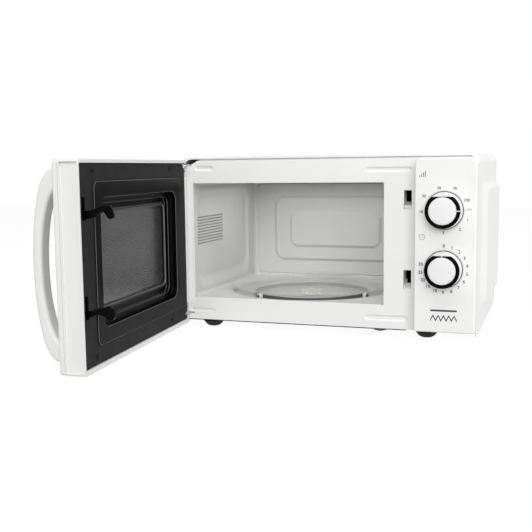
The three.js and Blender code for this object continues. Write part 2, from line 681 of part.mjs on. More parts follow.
function doorMesh() {
  const y = -RECESS.depth - 1.2 - GAP;
  return slabAlongY(rectangle([53, 297], [56, 188], 8), [y - 0.8, y]);
}

function doorFilm() {
  const y = -RECESS.depth + GAP;
  return slabAlongY(rectangle(grow(RECESS.x, -4), grow(RECESS.z, -4), 12), [y, y + 0.8]);
}

// A bow handle: an arched outer edge, a flatter inner edge, and feet that meet the door.
function doorHandle() {
  const foot = DOOR.front - GAP;
  const crownDepth = -66;
  const middle = 121.5;
  const halfOuter = 116;
  const halfInner = 92;
  const bow = new THREE.Shape();
  bow.moveTo(foot, middle - halfOuter);
  bow.bezierCurveTo(-46, middle - halfOuter + 2, -52, middle - 103, -56.5, middle - 88);
  bow.bezierCurveTo(crownDepth - 3.2, middle - 40, crownDepth - 3.2, middle + 40, -56.5, middle + 88);
  bow.bezierCurveTo(-52, middle + 103, -46, middle + halfOuter - 2, foot, middle + halfOuter);
  bow.lineTo(foot, middle + halfInner);
  bow.bezierCurveTo(-45, middle + 84, -52, middle + 44, -52, middle);
  bow.bezierCurveTo(-52, middle - 44, -45, middle - 84, foot, middle - halfInner);
  return slabAlongX(bow, [326, 348], 8);
}

// The sliding latch bar: a rail inside the door's free edge, with two hooks that reach inwards.
function latchBar() {
  const rail = block(LATCH.x, [-14, -9], [58, 200]);
  const upper = slabAlongX(outline([
    [-10, 179], [0, 180.5], [16, 183], [25, 186], [30.5, 177.5],
    [35.5, 179.5], [30, 195], [19, 194.5], [0, 189.5], [-10, 188],
  ]), LATCH.x);
  const lower = slabAlongX(outline([
    [-10, 63], [0, 64.5], [17, 67], [24, 69], [29, 61.5],
    [34.5, 64], [27, 77], [20, 76], [0, 73], [-10, 72.5],
  ]), LATCH.x);
  return join(rail, upper, lower);
}

// The coil spring that pulls the latch bar down.
class Helix extends THREE.Curve {
  constructor(radius, pitch, turns) {
    super();
    Object.assign(this, { radius, pitch, turns });
  }

  getPoint(t, target = new THREE.Vector3()) {
    const angle = 2 * Math.PI * this.turns * t;
    const rise = this.pitch * this.turns * t;
    return target.set(this.radius * Math.cos(angle), this.radius * Math.sin(angle), rise);
  }
}

function latchSpring() {
  const wire = new THREE.Shape().absarc(0, 0, 0.5, 0, 2 * Math.PI, false);
  const coil = new THREE.ExtrudeGeometry(
    wire, { extrudePath: new Helix(2.6, 3, 6), steps: 54, curveSegments: 3, bevelEnabled: false });
  return faceOutwards(coil.translate(334, -11.5, 98));
}

function doorScrew([x, z]) {
  const head = turned('y', [[0, 2], [1.8, 1.9], [3.1, 1.1], [3.3, GAP], [0, GAP]], 12).translate(x, 0, z);
  const shank = bar('y', [x, z], [-7, GAP + 0.1], 1.4, 8);
  const driveSlot = block([x - 1.8, x + 1.8], [1.2, 3], [z - 0.35, z + 0.35]);
  return cut(join(head, shank), driveSlot);
}

// ---------------------------------------------------------------- assembly

const cabinet = new THREE.Group();
add(cabinet, 'outer_case', outerCase(), FINISH.whitePaint);
add(cabinet, 'base_pan', basePan(), FINISH.zincSteel);
add(cabinet, 'rear_panel', rearPanel(), FINISH.zincSteel);
add(cabinet, 'face_plate', facePlate(), FINISH.whitePaint);
add(cabinet, 'cavity_shell', cavityShell(), FINISH.cavityPaint);
add(cabinet, 'control_panel', controlPanel(), FINISH.whitePlastic);
add(cabinet, 'timer_unit', timerUnit(), FINISH.ceramic);
add(cabinet, 'power_selector', powerSelector(), FINISH.darkGreyPlastic);
add(cabinet, 'timer_bell', timerBell(), FINISH.brightSteel);
add(cabinet, 'latch_board', latchBoard(), FINISH.ceramic);
add(cabinet, 'door_switch_upper', doorSwitch(172), FINISH.blackPlastic);
add(cabinet, 'door_switch_lower', doorSwitch(58), FINISH.blackPlastic);
add(cabinet, 'hinge_upper', hingeArm(HINGE.tongueZ[1], [222, 237], [216, 237]), FINISH.brightSteel);
add(cabinet, 'hinge_lower', hingeArm(HINGE.tongueZ[0], [9, 25], [9, 30]), FINISH.brightSteel);
add(cabinet, 'waveguide', waveguide(), FINISH.zincSteel);
add(cabinet, 'waveguide_cover', waveguideCover(), FINISH.mica);
add(cabinet, 'magnetron', magnetron(), FINISH.zincSteel);
add(cabinet, 'transformer_core', transformerCore(), FINISH.darkSteel);
add(cabinet, 'transformer_coils', transformerCoils(), FINISH.copper);
add(cabinet, 'capacitor', capacitor(), FINISH.aluminium);
add(cabinet, 'hv_diode', highVoltageDiode(), FINISH.blackPlastic);
add(cabinet, 'fan_shroud', fanShroud(), FINISH.darkGreyPlastic);
add(cabinet, 'fan_motor', fanMotor(), FINISH.darkSteel);
add(cabinet, 'grill_reflector', grillReflector(), FINISH.brightSteel);
add(cabinet, 'grill_tube_front', grillTube(121), FINISH.heaterGlass);
add(cabinet, 'grill_tube_rear', grillTube(161), FINISH.heaterGlass);
add(cabinet, 'cavity_lamp', cavityLamp(), FINISH.clearGlass);
add(cabinet, 'filter_board', filterBoard(), FINISH.circuitBoard);
add(cabinet, 'cord_gland', cordGland(), FINISH.blackPlastic);
add(cabinet, 'turntable_motor', turntableMotor(), FINISH.zincSteel);
for (const [corner, centre] of Object.entries(FEET)) {
  add(cabinet, `foot_${corner}`, foot(centre), FINISH.rubber);
}

for (const [name, z, turn] of [['timer', DIAL.timerZ, 0], ['power', DIAL.powerZ, Math.PI / 2]]) {
  const dial = new THREE.Group();
  dial.position.set(DIAL.x, 0, z);
  dial.rotation.y = turn;
  add(dial, `${name}_knob`, dialKnob(), FINISH.blackPlastic);
  add(dial, `${name}_shaft`, dialShaft(), FINISH.brightSteel);
  cabinet.add(dial);
}

const fan = new THREE.Group();
fan.position.set(FAN.x, 0, FAN.z);
add(fan, 'cooling_fan', coolingFan(), FINISH.darkGreyPlastic);
cabinet.add(fan);

const turntable = new THREE.Group();
turntable.position.set(TURNTABLE.x, TURNTABLE.y, 0);
add(turntable, 'turntable_coupler', turntableCoupler(), FINISH.ceramic);
add(turntable, 'turntable_plate', turntablePlate(), FINISH.clearGlass);
add(turntable, 'roller_ring', rollerRing(), FINISH.darkGreyPlastic);
for (const i of range(ROLLER.count)) {
  const wheel = add(turntable, `roller_wheel_${i + 1}`, rollerWheel(), FINISH.whitePlastic);
  const angle = rollerAngle(i);
  const across = ROLLER.orbit * Math.cos(angle);
  wheel.position.set(across, ROLLER.orbit * Math.sin(angle), WELL_FLOOR + ROLLER.radius);
  wheel.rotation.z = angle;
}
cabinet.add(turntable);

const door = new THREE.Group();
door.position.set(HINGE.x, HINGE.y, 0);
door.rotation.z = THREE.MathUtils.degToRad(-DOOR.openAngle);
const leaf = new THREE.Group();
leaf.position.y = DOOR.panelOffset;
add(leaf, 'door_surround', doorSurround(), FINISH.whitePlastic);
add(leaf, 'door_front', doorFront(), FINISH.whitePlastic);
add(leaf, 'door_window', doorWindow(), FINISH.tintedGlass);
add(leaf, 'door_frame', doorFrame(), FINISH.blackPaint);
add(leaf, 'door_choke_cover', doorChokeCover(), FINISH.blackPlastic);
add(leaf, 'door_mesh', doorMesh(), FINISH.blackPaint);
add(leaf, 'door_film', doorFilm(), FINISH.clearGlass);
add(leaf, 'door_handle', doorHandle(), FINISH.whitePlastic);
add(leaf, 'latch_bar', latchBar(), FINISH.blackPlastic);
add(leaf, 'latch_spring', latchSpring(), FINISH.brightSteel);
for (const [corner, centre] of Object.entries(DOOR_SCREWS)) {
  add(leaf, `door_screw_${corner}`, doorScrew(centre), FINISH.blackPaint);
}
door.add(leaf);
cabinet.add(door);

const oven = new THREE.Group();
oven.add(cabinet);
oven.updateMatrixWorld(true);
const extent = new THREE.Box3().setFromObject(oven, true);
const centre = extent.getCenter(new THREE.Vector3());
oven.position.set(-centre.x, -centre.y, -extent.min.z);

export default oven;
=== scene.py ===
"""Looks of a countertop microwave oven with its door swung open.

Pieces are modelled in millimetres on one of two benches. The cabinet bench has X to the right from
the case's left side, Y back from the face plate and Z up from its bottom edge. The door bench has X
from the hinge pin to the free edge, Y from the black inner panel inwards, and the same Z. A finished
piece is moved from its bench to its place in the frame, in metres.
"""

import json
import math

import bmesh
import bpy
from mathutils import Matrix, Vector

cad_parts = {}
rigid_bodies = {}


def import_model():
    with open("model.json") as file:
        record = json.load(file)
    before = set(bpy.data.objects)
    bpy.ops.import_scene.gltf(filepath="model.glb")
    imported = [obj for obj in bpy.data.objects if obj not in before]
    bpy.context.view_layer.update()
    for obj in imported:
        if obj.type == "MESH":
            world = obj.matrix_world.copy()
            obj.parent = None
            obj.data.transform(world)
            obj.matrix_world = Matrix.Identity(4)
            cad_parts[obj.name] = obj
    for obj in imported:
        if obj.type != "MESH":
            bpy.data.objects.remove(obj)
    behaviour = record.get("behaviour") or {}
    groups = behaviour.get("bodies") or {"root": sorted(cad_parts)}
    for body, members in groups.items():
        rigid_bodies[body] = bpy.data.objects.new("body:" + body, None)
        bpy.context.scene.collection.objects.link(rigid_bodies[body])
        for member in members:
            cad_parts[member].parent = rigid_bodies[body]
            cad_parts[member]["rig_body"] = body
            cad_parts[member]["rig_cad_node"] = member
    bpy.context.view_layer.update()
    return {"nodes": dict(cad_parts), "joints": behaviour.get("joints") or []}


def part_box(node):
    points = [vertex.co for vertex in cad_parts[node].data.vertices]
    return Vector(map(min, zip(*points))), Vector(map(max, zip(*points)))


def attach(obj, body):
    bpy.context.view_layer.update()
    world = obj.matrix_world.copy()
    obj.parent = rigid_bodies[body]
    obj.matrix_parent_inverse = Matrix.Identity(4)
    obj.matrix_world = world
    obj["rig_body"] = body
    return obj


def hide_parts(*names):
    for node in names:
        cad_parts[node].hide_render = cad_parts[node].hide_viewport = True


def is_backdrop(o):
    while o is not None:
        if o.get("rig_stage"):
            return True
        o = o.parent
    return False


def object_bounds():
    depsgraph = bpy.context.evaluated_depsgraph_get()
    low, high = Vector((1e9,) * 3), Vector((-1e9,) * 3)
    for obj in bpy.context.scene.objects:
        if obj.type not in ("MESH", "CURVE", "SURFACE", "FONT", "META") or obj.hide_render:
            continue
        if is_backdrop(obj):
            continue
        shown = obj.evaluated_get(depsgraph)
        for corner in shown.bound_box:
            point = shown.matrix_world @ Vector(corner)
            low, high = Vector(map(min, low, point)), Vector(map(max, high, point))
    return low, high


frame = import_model()

# ---------------------------------------------------------------- benches

MM = 0.001

# The case's width and height at its top edge, the hinge pin to the door's inner panel, and a sheet.
CASE_WIDTH, CASE_TOP = 447, 250
PANEL_OFFSET = 2.8
SHEET = 1.0

# Openings of the face plate, the heights of the hinge tongues, and the floor of the turntable's well.
MOUTH = {"x": (17.2, 314.6), "z": (33.6, 210)}
SLOTS = ((169.4, 198.8), (56.4, 85))
SLOT_X = (343.3, 354.3)
TONGUES = (8, 236.4)
WELL_FLOOR = 21.6

# How near counts as being there, limits that leave an axis free, and the places of the axes.
NEAR = 0.02
EVERYWHERE = (-1e6, 1e6)
ACROSS = {"x": (1, 2), "y": (0, 2), "z": (0, 1)}
INDEX = {"x": 0, "y": 1, "z": 2}
QUARTER = math.pi / 2


def cabinet_bench():
    low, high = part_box("outer_case")
    left = (low.x + high.x) / 2 - CASE_WIDTH / 2 * MM
    return Matrix.Translation((left, low.y, high.z - CASE_TOP * MM)) @ Matrix.Scale(MM, 4)


def door_bench():
    hinge = next(joint for joint in frame["joints"] if joint["name"] == "door_hinge")
    pin = Vector(hinge["pos_m"])
    pin.z = CABINET.translation.z
    swing = Matrix.Rotation(-math.radians(hinge["range_deg"][1]), 4, "Z")
    lift = Matrix.Translation((0, PANEL_OFFSET * MM, 0))
    return Matrix.Translation(pin) @ swing @ lift @ Matrix.Scale(MM, 4)


CABINET = cabinet_bench()
DOOR = door_bench()


def limits(node, bench=CABINET):
    """The box of a CAD node in a bench's millimetres, as (low, high) along X, Y and Z."""
    back = bench.inverted()
    points = [back @ vertex.co for vertex in frame["nodes"][node].data.vertices]
    return [(min(values), max(values)) for values in zip(*points)]


def middle(node, bench=CABINET):
    return Vector([sum(pair) / 2 for pair in limits(node, bench)])


def hub_place():
    x, y, _ = limits("turntable_plate")
    return (sum(x) / 2, sum(y) / 2)


def grow(pair, amount):
    return (pair[0] - amount, pair[1] + amount)


def around(centre, half):
    return (centre - half, centre + half)


# ---------------------------------------------------------------- hands: selecting and shaping


def alone(piece):
    bpy.ops.object.select_all(action="DESELECT")
    piece.select_set(True)
    bpy.context.view_layer.objects.active = piece


def start_edit(piece, kind="FACE"):
    alone(piece)
    bpy.ops.object.mode_set(mode="EDIT")
    bpy.ops.mesh.select_mode(type=kind)
    bpy.ops.mesh.select_all(action="DESELECT")
    return bmesh.from_edit_mesh(piece.data)


def edit_all(piece, kind="FACE"):
    """Opens a piece for editing with everything selected."""
    start_edit(piece, kind)
    bpy.ops.mesh.select_all(action="SELECT")


def stop_edit():
    bpy.ops.object.mode_set(mode="OBJECT")


def select_faces(piece, test):
    """Opens a piece for editing with the faces selected whose centre and normal pass the test."""
    shape = start_edit(piece)
    for face in shape.faces:
        face.select_set(bool(test(face.calc_center_median(), face.normal)))
    bmesh.update_edit_mesh(piece.data)


def select_edges(piece, test):
    """Opens a piece for editing with the edges selected whose two ends pass the test."""
    shape = start_edit(piece, "EDGE")
    for edge in shape.edges:
        edge.select_set(bool(test(edge.verts[0].co, edge.verts[1].co)))
    bmesh.update_edit_mesh(piece.data)


def inside(point, x=EVERYWHERE, y=EVERYWHERE, z=EVERYWHERE):
    return all(low - NEAR <= value <= high + NEAR for value, (low, high) in zip(point, (x, y, z)))


def edges_in(**box):
    return lambda a, b: inside(a, **box) and inside(b, **box)


def put_down(piece):
    """Gives the mesh the object's own place, turn and size."""
    alone(piece)
    bpy.ops.object.transform_apply(location=True, rotation=True, scale=True)
    return piece


def point_at(axis, across, along):
    """A point from its two places across an axis and its place along it."""
    u, v = ACROSS[axis]
    place = [0, 0, 0]
    place[u], place[v], place[INDEX[axis]] = across[0], across[1], along
    return place


def added(name, add, **settings):
    """The new object that an add operator makes, with nothing else selected."""
    bpy.ops.object.select_all(action="DESELECT")
    add(**settings)
    piece = bpy.context.active_object
    piece.name = name
    return piece


def block(name, x, y, z):
    size = [pair[1] - pair[0] for pair in (x, y, z)]
    centre = [sum(pair) / 2 for pair in (x, y, z)]
    return put_down(added(name, bpy.ops.mesh.primitive_cube_add, size=1, location=centre, scale=size))


def bevel(offset, segments=3):
    """Rounds the selected edges of the piece being edited, and closes the edit."""
    bpy.ops.mesh.bevel(offset=offset, segments=segments, affect="EDGES")
    stop_edit()


def round_corners(piece, axis, radii, segments=6):
    """Rounds the four edges that run along an axis: low-low, high-low, high-high, low-high."""
    u, v = ACROSS[axis]
    points = [vertex.co for vertex in piece.data.vertices]
    low = [min(point[i] for point in points) for i in (u, v)]
    high = [max(point[i] for point in points) for i in (u, v)]
    corners = [(low[0], low[1]), (high[0], low[1]), (high[0], high[1]), (low[0], high[1])]
    for (cu, cv), radius in zip(corners, radii):
        if radius:
            at_corner = lambda p: abs(p[u] - cu) < NEAR and abs(p[v] - cv) < NEAR
            select_edges(piece, lambda a, b: at_corner(a) and at_corner(b))
            bevel(radius, segments)
    return piece


def slab(name, x, y, z, radius=0, axis="y", segments=6):
    """A block whose edges along one axis are rounded, with one radius or four."""
    piece = block(name, x, y, z)
    radii = radius if isinstance(radius, (list, tuple)) else [radius] * 4
    return round_corners(piece, axis, radii, segments)


def drum(name, axis, centre, span, radius, sides=32):
    """A round bar; centre is its place across the axis, and span its two ends along it."""
    return put_down(added(
        name, bpy.ops.mesh.primitive_cylinder_add, vertices=sides, radius=radius, depth=span[1] - span[0],
        location=point_at(axis, centre, sum(span) / 2),
        rotation={"x": (0, QUARTER, 0), "y": (QUARTER, 0, 0), "z": (0, 0, 0)}[axis]))


def apply_modifier(piece, kind, **settings):
    alone(piece)
    modifier = piece.modifiers.new(kind.title(), kind)
    for key, value in settings.items():
        setattr(modifier, key, value)
    bpy.ops.object.modifier_apply(modifier=modifier.name)
    return piece


def combine(name, *pieces):
    """Joins pieces into one object without changing their meshes."""
    alone(pieces[0])
    for piece in pieces:
        piece.select_set(True)
    if len(pieces) > 1:
        bpy.ops.object.join()
    pieces[0].name = name
    return pieces[0]


def boolean(piece, operation, tool):
    apply_modifier(piece, "BOOLEAN", operation=operation, solver="EXACT", object=tool)
    bpy.data.objects.remove(tool)
    return piece


def carve(piece, *tools):
    for tool in tools:
        boolean(piece, "DIFFERENCE", tool)
    return piece


def fuse(piece, *others):
    for other in others:
        boolean(piece, "UNION", other)
    return piece


def row(piece, count, step):
    return apply_modifier(
        piece, "ARRAY", count=count, use_relative_offset=False, use_constant_offset=True,
        constant_offset_displace=step)


def soften(piece, width, segments=2, angle=30, edge_material=-1):
    """Rounds every edge that is sharper than the angle; the rounding may have its own material."""
    return apply_modifier(
        piece, "BEVEL", width=width, segments=segments, limit_method="ANGLE",
        angle_limit=math.radians(angle), use_clamp_overlap=True, material=edge_material)


def merge_doubles(piece, distance=0.001, outwards=True):
    edit_all(piece, "VERT")
    bpy.ops.mesh.remove_doubles(threshold=distance)
    if outwards:
        bpy.ops.mesh.normals_make_consistent(inside=False)
    stop_edit()
    return piece


def arc(centre, radius, start, end, steps=6):
    """Points along an arc, in degrees."""
    turns = [math.radians(start + (end - start) * i / steps) for i in range(steps + 1)]
    return [(centre[0] + radius * math.cos(t), centre[1] + radius * math.sin(t)) for t in turns]


def curve_through(a, b, c, d, steps):
    """Points along a curve from a to d that leaves towards b and arrives from c."""
    points = []
    for i in range(1, steps + 1):
        t = i / steps
        weights = ((1 - t) ** 3, 3 * t * (1 - t) ** 2, 3 * t * t * (1 - t), t ** 3)
        points.append(tuple(sum(w * p[k] for w, p in zip(weights, (a, b, c, d))) for k in (0, 1)))
    return points


def chain(name, points, closed=False):
    """A line of vertices, each extruded from the one before, left open for editing."""
    piece = added(name, bpy.ops.mesh.primitive_plane_add, size=1, location=(0, 0, 0))
    edit_all(piece, "VERT")
    bpy.ops.mesh.merge(type="CENTER")
    bpy.ops.transform.translate(value=points[0])
    route = list(points) + ([points[0]] if closed else [])
    for a, b in zip(route, route[1:]):
        step = Vector(b) - Vector(a)
        bpy.ops.mesh.extrude_vertices_move(TRANSFORM_OT_translate={"value": step})
    bpy.ops.mesh.select_all(action="SELECT")
    bpy.ops.mesh.remove_doubles(threshold=0.001)
    bpy.ops.mesh.select_all(action="SELECT")
    return piece


def turned(name, profile, centre=(0, 0, 0), axis="z", steps=48):
    """A piece turned on a lathe; each profile point is (radius, distance along the axis)."""
    piece = chain(name, [(radius, 0, along) for radius, along in profile])
    bpy.ops.mesh.spin(steps=steps, angle=2 * math.pi, center=(0, 0, 0), axis=(0, 0, 1))
    stop_edit()
    merge_doubles(piece, 0.002)
    piece.rotation_euler = {"x": (0, QUARTER, 0), "y": (-QUARTER, 0, 0), "z": (0, 0, 0)}[axis]
    piece.location = centre
    return put_down(piece)


def cut_out(name, outline, axis, span):
    """A flat outline given a thickness; its points lie across the axis."""
    piece = chain(name, [point_at(axis, pair, span[0]) for pair in outline], closed=True)
    bpy.ops.mesh.edge_face_add()
    step = point_at(axis, (0, 0), span[1] - span[0])
    bpy.ops.mesh.extrude_region_move(TRANSFORM_OT_translate={"value": step})
    bpy.ops.mesh.select_all(action="SELECT")
    bpy.ops.mesh.normals_make_consistent(inside=False)
    stop_edit()
    return piece


def copy_of(piece, name, move=(0, 0, 0), turn=0, about=(0, 0, 0)):
    """A copy with its own mesh, moved, or turned about an upright line through a point."""
    alone(piece)
    bpy.ops.object.duplicate(linked=False)
    copy = bpy.context.active_object
    copy.name = name
    shift = Matrix.Translation(about) @ Matrix.Rotation(turn, 4, "Z") @ Matrix.Translation(-Vector(about))
    copy.matrix_world = Matrix.Translation(move) @ shift @ copy.matrix_world
    return put_down(copy)


def fit_selected(piece, **limits_by_axis):
    """Moves and sizes the selected vertices of the piece being edited to fill the given limits."""
    shape = bmesh.from_edit_mesh(piece.data)
    points = [vertex.co.copy() for vertex in shape.verts if vertex.select]
    for axis, pair in limits_by_axis.items():
        places = [point[INDEX[axis]] for point in points]
        low, high = min(places), max(places)
        centre = sum(pair) / 2
        bpy.ops.transform.translate(value=point_at(axis, (0, 0), centre - (low + high) / 2))
        if high - low > NEAR:
            scale = point_at(axis, (1, 1), (pair[1] - pair[0]) / (high - low))
            bpy.ops.transform.resize(value=scale, center_override=point_at(axis, (0, 0), centre))


# ---------------------------------------------------------------- finishing a piece


def smooth(piece, angle=32):
    alone(piece)
    bpy.ops.object.shade_smooth_by_angle(angle=math.radians(angle))
    apply_modifier(piece, "WEIGHTED_NORMAL", mode="FACE_AREA", weight=50, keep_sharp=True)


def dress(piece, body, slot, *nodes, angle=32, look=None, edges=None):
    """Smooths a piece that is in its place, and gives it its finish, its body and its nodes.

    The look is the finish's name where it isn't the slot's; edges names that of the rounded edges.
    """
    smooth(piece, angle)
    main = FINISHES[look or slot]
    if edges:
        piece.data.materials[0], piece.data.materials[1] = main, FINISHES[edges]
    else:
        piece.data.materials.clear()
        piece.data.materials.append(main)
    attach(piece, body)
    if nodes:
        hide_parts(*nodes)


def finish(piece, bench, body, slot, *nodes, **more):
    """Takes a piece from its bench to its place in the frame, and dresses it."""
    piece.matrix_world = bench.copy()
    put_down(piece)
    dress(piece, body, slot, *nodes, **more)


def cabinet_piece(piece, slot, *nodes, **more):
    finish(piece, CABINET, "root", slot, *nodes, **more)


def door_piece(piece, slot, *nodes, **more):
    finish(piece, DOOR, "door", slot, *nodes, **more)


def refine(node, slot, edge=0.4):
    """A softened copy of a hidden CAD piece: merged, its flat faces joined and its edges rounded."""
    source = frame["nodes"][node]
    piece = source.copy()
    piece.data = source.data.copy()
    bpy.context.scene.collection.objects.link(piece)
    piece.name = f"{node}_piece"
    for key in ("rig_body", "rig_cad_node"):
        del piece[key]
    piece.parent = None
    merge_doubles(piece, 1e-5, outwards=False)
    edit_all(piece)
    bpy.ops.mesh.dissolve_limited(angle_limit=math.radians(1))
    stop_edit()
    soften(piece, edge * MM, 2, 40)
    dress(piece, source["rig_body"], slot, node)


# ---------------------------------------------------------------- finishes


def linear(level):
    """A display level from 0 to 255 as a linear value."""
    share = level / 255
    return share / 12.92 if share <= 0.04045 else ((share + 0.055) / 1.055) ** 2.4


def colour(shade):
    return (*[linear(level) for level in shade], 1.0)


def darker(shade, levels):
    return [max(level - levels, 0) for level in shade]


def set_inputs(node, values):
    for name, value in values.items():
        node.inputs[name].default_value = value


def surface_of(material):
    return material.node_tree.nodes["Principled BSDF"]


def new_finish(name, shade, roughness, metallic=0.0, specular=0.5):
    material = bpy.data.materials.new(name)
    material.use_nodes = True
    set_inputs(surface_of(material), {
        "Base Color": colour(shade), "Roughness": roughness, "Metallic": metallic,
        "Specular IOR Level": specular})
    return material


def pattern(material, kind, scale, stretch=(1, 1, 1), **settings):
    """A texture node on the piece's own coordinates, in metres."""
    nodes, links = material.node_tree.nodes, material.node_tree.links
    place = nodes.new("ShaderNodeTexCoord")
    mapping = nodes.new("ShaderNodeMapping")
    texture = nodes.new(f"ShaderNodeTex{kind}")
    set_inputs(mapping, {"Scale": stretch})
    set_inputs(texture, {"Scale": scale, **settings})
    links.new(place.outputs["Object"], mapping.inputs["Vector"])
    links.new(mapping.outputs["Vector"], texture.inputs["Vector"])
    return texture


def noise(material, scale, detail, stretch=(1, 1, 1)):
    return pattern(material, "Noise", scale, stretch, Detail=detail).outputs["Fac"]


def spread(material, source, low, high, start=0.3, end=0.7):
    """Maps a texture's middle range onto two values."""
    remap = material.node_tree.nodes.new("ShaderNodeMapRange")
    set_inputs(remap, {"From Min": start, "From Max": end, "To Min": low, "To Max": high})
    material.node_tree.links.new(source, remap.inputs["Value"])
    return remap.outputs["Result"]


def tint(material, source, dark, light):
    """Colours the surface between two shades by a texture."""
    mix = material.node_tree.nodes.new("ShaderNodeMix")
    mix.data_type = "RGBA"
    set_inputs(mix, {"A": colour(dark), "B": colour(light)})
    links = material.node_tree.links
    links.new(source, mix.inputs["Factor"])
    links.new(mix.outputs["Result"], surface_of(material).inputs["Base Color"])


def roughen(material, source, low, high, start=0.3, end=0.7):
    level = spread(material, source, low, high, start, end)
    material.node_tree.links.new(level, surface_of(material).inputs["Roughness"])


def emboss(material, source, depth):
    """Lets a texture stand proud of the surface by a depth in metres."""
    bump = material.node_tree.nodes.new("ShaderNodeBump")
    set_inputs(bump, {"Strength": 1.0, "Distance": depth})
    links = material.node_tree.links
    links.new(source, bump.inputs["Height"])
    links.new(bump.outputs["Normal"], surface_of(material).inputs["Normal"])


def coated_sheet(name, shade, roughness, peel_scale, peel_depth, specular=0.5):
    """Stoved paint on sheet steel: a faint orange peel, and a slow drift of shade and gloss."""
    material = new_finish(name, shade, roughness, specular=specular)
    tint(material, spread(material, noise(material, 9, 2.0), 0, 1), darker(shade, 3), shade)
    emboss(material, noise(material, peel_scale, 1.5), peel_depth)
    roughen(material, noise(material, 40, 3.0), roughness - 0.03, roughness + 0.04)
    return material


def moulded_plastic(name, shade, roughness, grain_scale, grain_depth, specular=0.5):
    """Injection-moulded plastic: a fine spark grain and a slow drift of shade."""
    material = new_finish(name, shade, roughness, specular=specular)
    tint(material, spread(material, noise(material, 14, 2.0), 0, 1), darker(shade, 2), shade)
    grain = noise(material, grain_scale, 3.0)
    emboss(material, grain, grain_depth)
    roughen(material, grain, roughness - 0.03, roughness + 0.05)
    return material


def drawn_metal(name, dark, light, roughness, stretch):
    """Metal with fine lines along its rolling or turning direction."""
    material = new_finish(name, light, roughness, metallic=1.0)
    lines = noise(material, 260, 4.0, stretch)
    tint(material, spread(material, lines, 0, 1), dark, light)
    roughen(material, lines, roughness - 0.05, roughness + 0.1)
    emboss(material, lines, 0.00001)
    return material


def galvanised(name, shade, dark, light, roughness, metallic, spangle_scale):
    """Zinc-coated steel, blotched by its spangle and a little rippled."""
    material = new_finish(name, shade, roughness, metallic=metallic)
    spangle = pattern(material, "Voronoi", spangle_scale)
    tint(material, spread(material, spangle.outputs["Color"], 0, 1, 0, 1), dark, light)
    emboss(material, noise(material, 300, 2.0), 0.00004)
    return material, spangle


def zinc_steel():
    """Bright galvanised steel, whose spangle shows in its gloss too."""
    material, spangle = galvanised(
        "zinc_steel", (176, 179, 182), (158, 161, 165), (188, 191, 194), 0.42, 0.85, 160)
    roughen(material, spangle.outputs["Distance"], 0.36, 0.5, 0, 0.6)
    return material


def dull_steel():
    """Galvanised steel of the base, painted dark as the shade under the oven."""
    material, _ = galvanised("dull_steel", (84, 85, 87), (74, 75, 77), (92, 93, 95), 0.6, 0.5, 120)
    return material


def copper():
    """Lacquered copper wire, wound in close turns."""
    material = new_finish("copper", (168, 90, 50), 0.35, metallic=0.8)
    turns = pattern(material, "Wave", 450, Distortion=0.4, Detail=1.0)
    turns.bands_direction = "Z"
    tint(material, turns.outputs["Fac"], (120, 58, 30), (190, 108, 62))
    emboss(material, turns.outputs["Fac"], 0.0002)
    return material


def mica():
    """Pressed mica with its cloudy flakes."""
    material = new_finish("mica", (188, 174, 146), 0.55)
    flakes = pattern(material, "Voronoi", 220)
    tint(material, flakes.outputs["Color"], (170, 155, 126), (204, 192, 166))
    emboss(material, noise(material, 60, 4.0), 0.0001)
    return material


def circuit_board():
    """Green resist over copper tracks."""
    resist = (52, 96, 66)
    material = new_finish("circuit_board", resist, 0.4)
    tracks = pattern(material, "Brick", 180, Color1=colour(resist), Color2=colour((60, 108, 74)),
                     Mortar=colour((86, 132, 92)))
    material.node_tree.links.new(tracks.outputs["Color"], surface_of(material).inputs["Base Color"])
    return material


def clear_material(name, shade, roughness, smear_scale, body, transmission=1.0):
    """Clear glass or film with faint smears in its gloss; body is how much of it bends the light."""
    material = new_finish(name, shade, roughness)
    set_inputs(surface_of(material), {"Transmission Weight": transmission, "IOR": 1.45, "Alpha": body})
    roughen(material, noise(material, smear_scale, 3.0), roughness, roughness + 0.03)
    return material


# Shade, roughness, scale and depth in metres of the grain, and how much it reflects if not 0.5.
MOULDED = {
    "white_plastic": ((235, 235, 234), 0.42, 2600, 0.00002),
    # A copy of white_plastic painted darker, as shade on the door, which stands nearer the front lamp.
    "door_plastic": ((228, 228, 227), 0.42, 2600, 0.00002),
    "black_plastic": ((4, 4, 5), 0.3, 2200, 0.00001, 0.05),
    "dark_plastic": ((62, 63, 65), 0.48, 2400, 0.00003),
    "rubber": ((34, 34, 35), 0.75, 1500, 0.00006, 0.3),
    "ceramic": ((222, 220, 214), 0.5, 1800, 0.00003),
    "printed_ink": ((54, 55, 58), 0.5, 3000, 0.000005),
    "knob_face": ((233, 233, 233), 0.3, 2600, 0.00001),
    "knob_black": ((4, 4, 5), 0.12, 1200, 0.000002, 0.04),
    # Lighter grey for rounded edges on black plastic, painted as the highlights that run along them.
    "edge_gloss": ((100, 101, 103), 0.22, 1200, 0.000004),
    "ring_plastic": ((92, 93, 95), 0.5, 2000, 0.00002, 0.3),
}

# Shade, roughness, scale and depth in metres of the orange peel, and how much it reflects if not 0.5.
PAINTED = {
    "white_paint": ((238, 238, 237), 0.38, 900, 0.00003),
    "cavity_paint": ((206, 206, 205), 0.4, 700, 0.00004),
    "black_paint": ((31, 31, 32), 0.6, 1400, 0.00003, 0.12),
}

# Dark and light shade, roughness, and how the lines are stretched.
DRAWN = {
    "bright_steel": ((196, 199, 202), (216, 218, 220), 0.25, (1, 1, 12)),
    "core_steel": ((58, 60, 66), (92, 94, 98), 0.45, (1, 14, 1)),
    "aluminium": ((184, 187, 190), (204, 206, 208), 0.35, (1, 1, 8)),
}

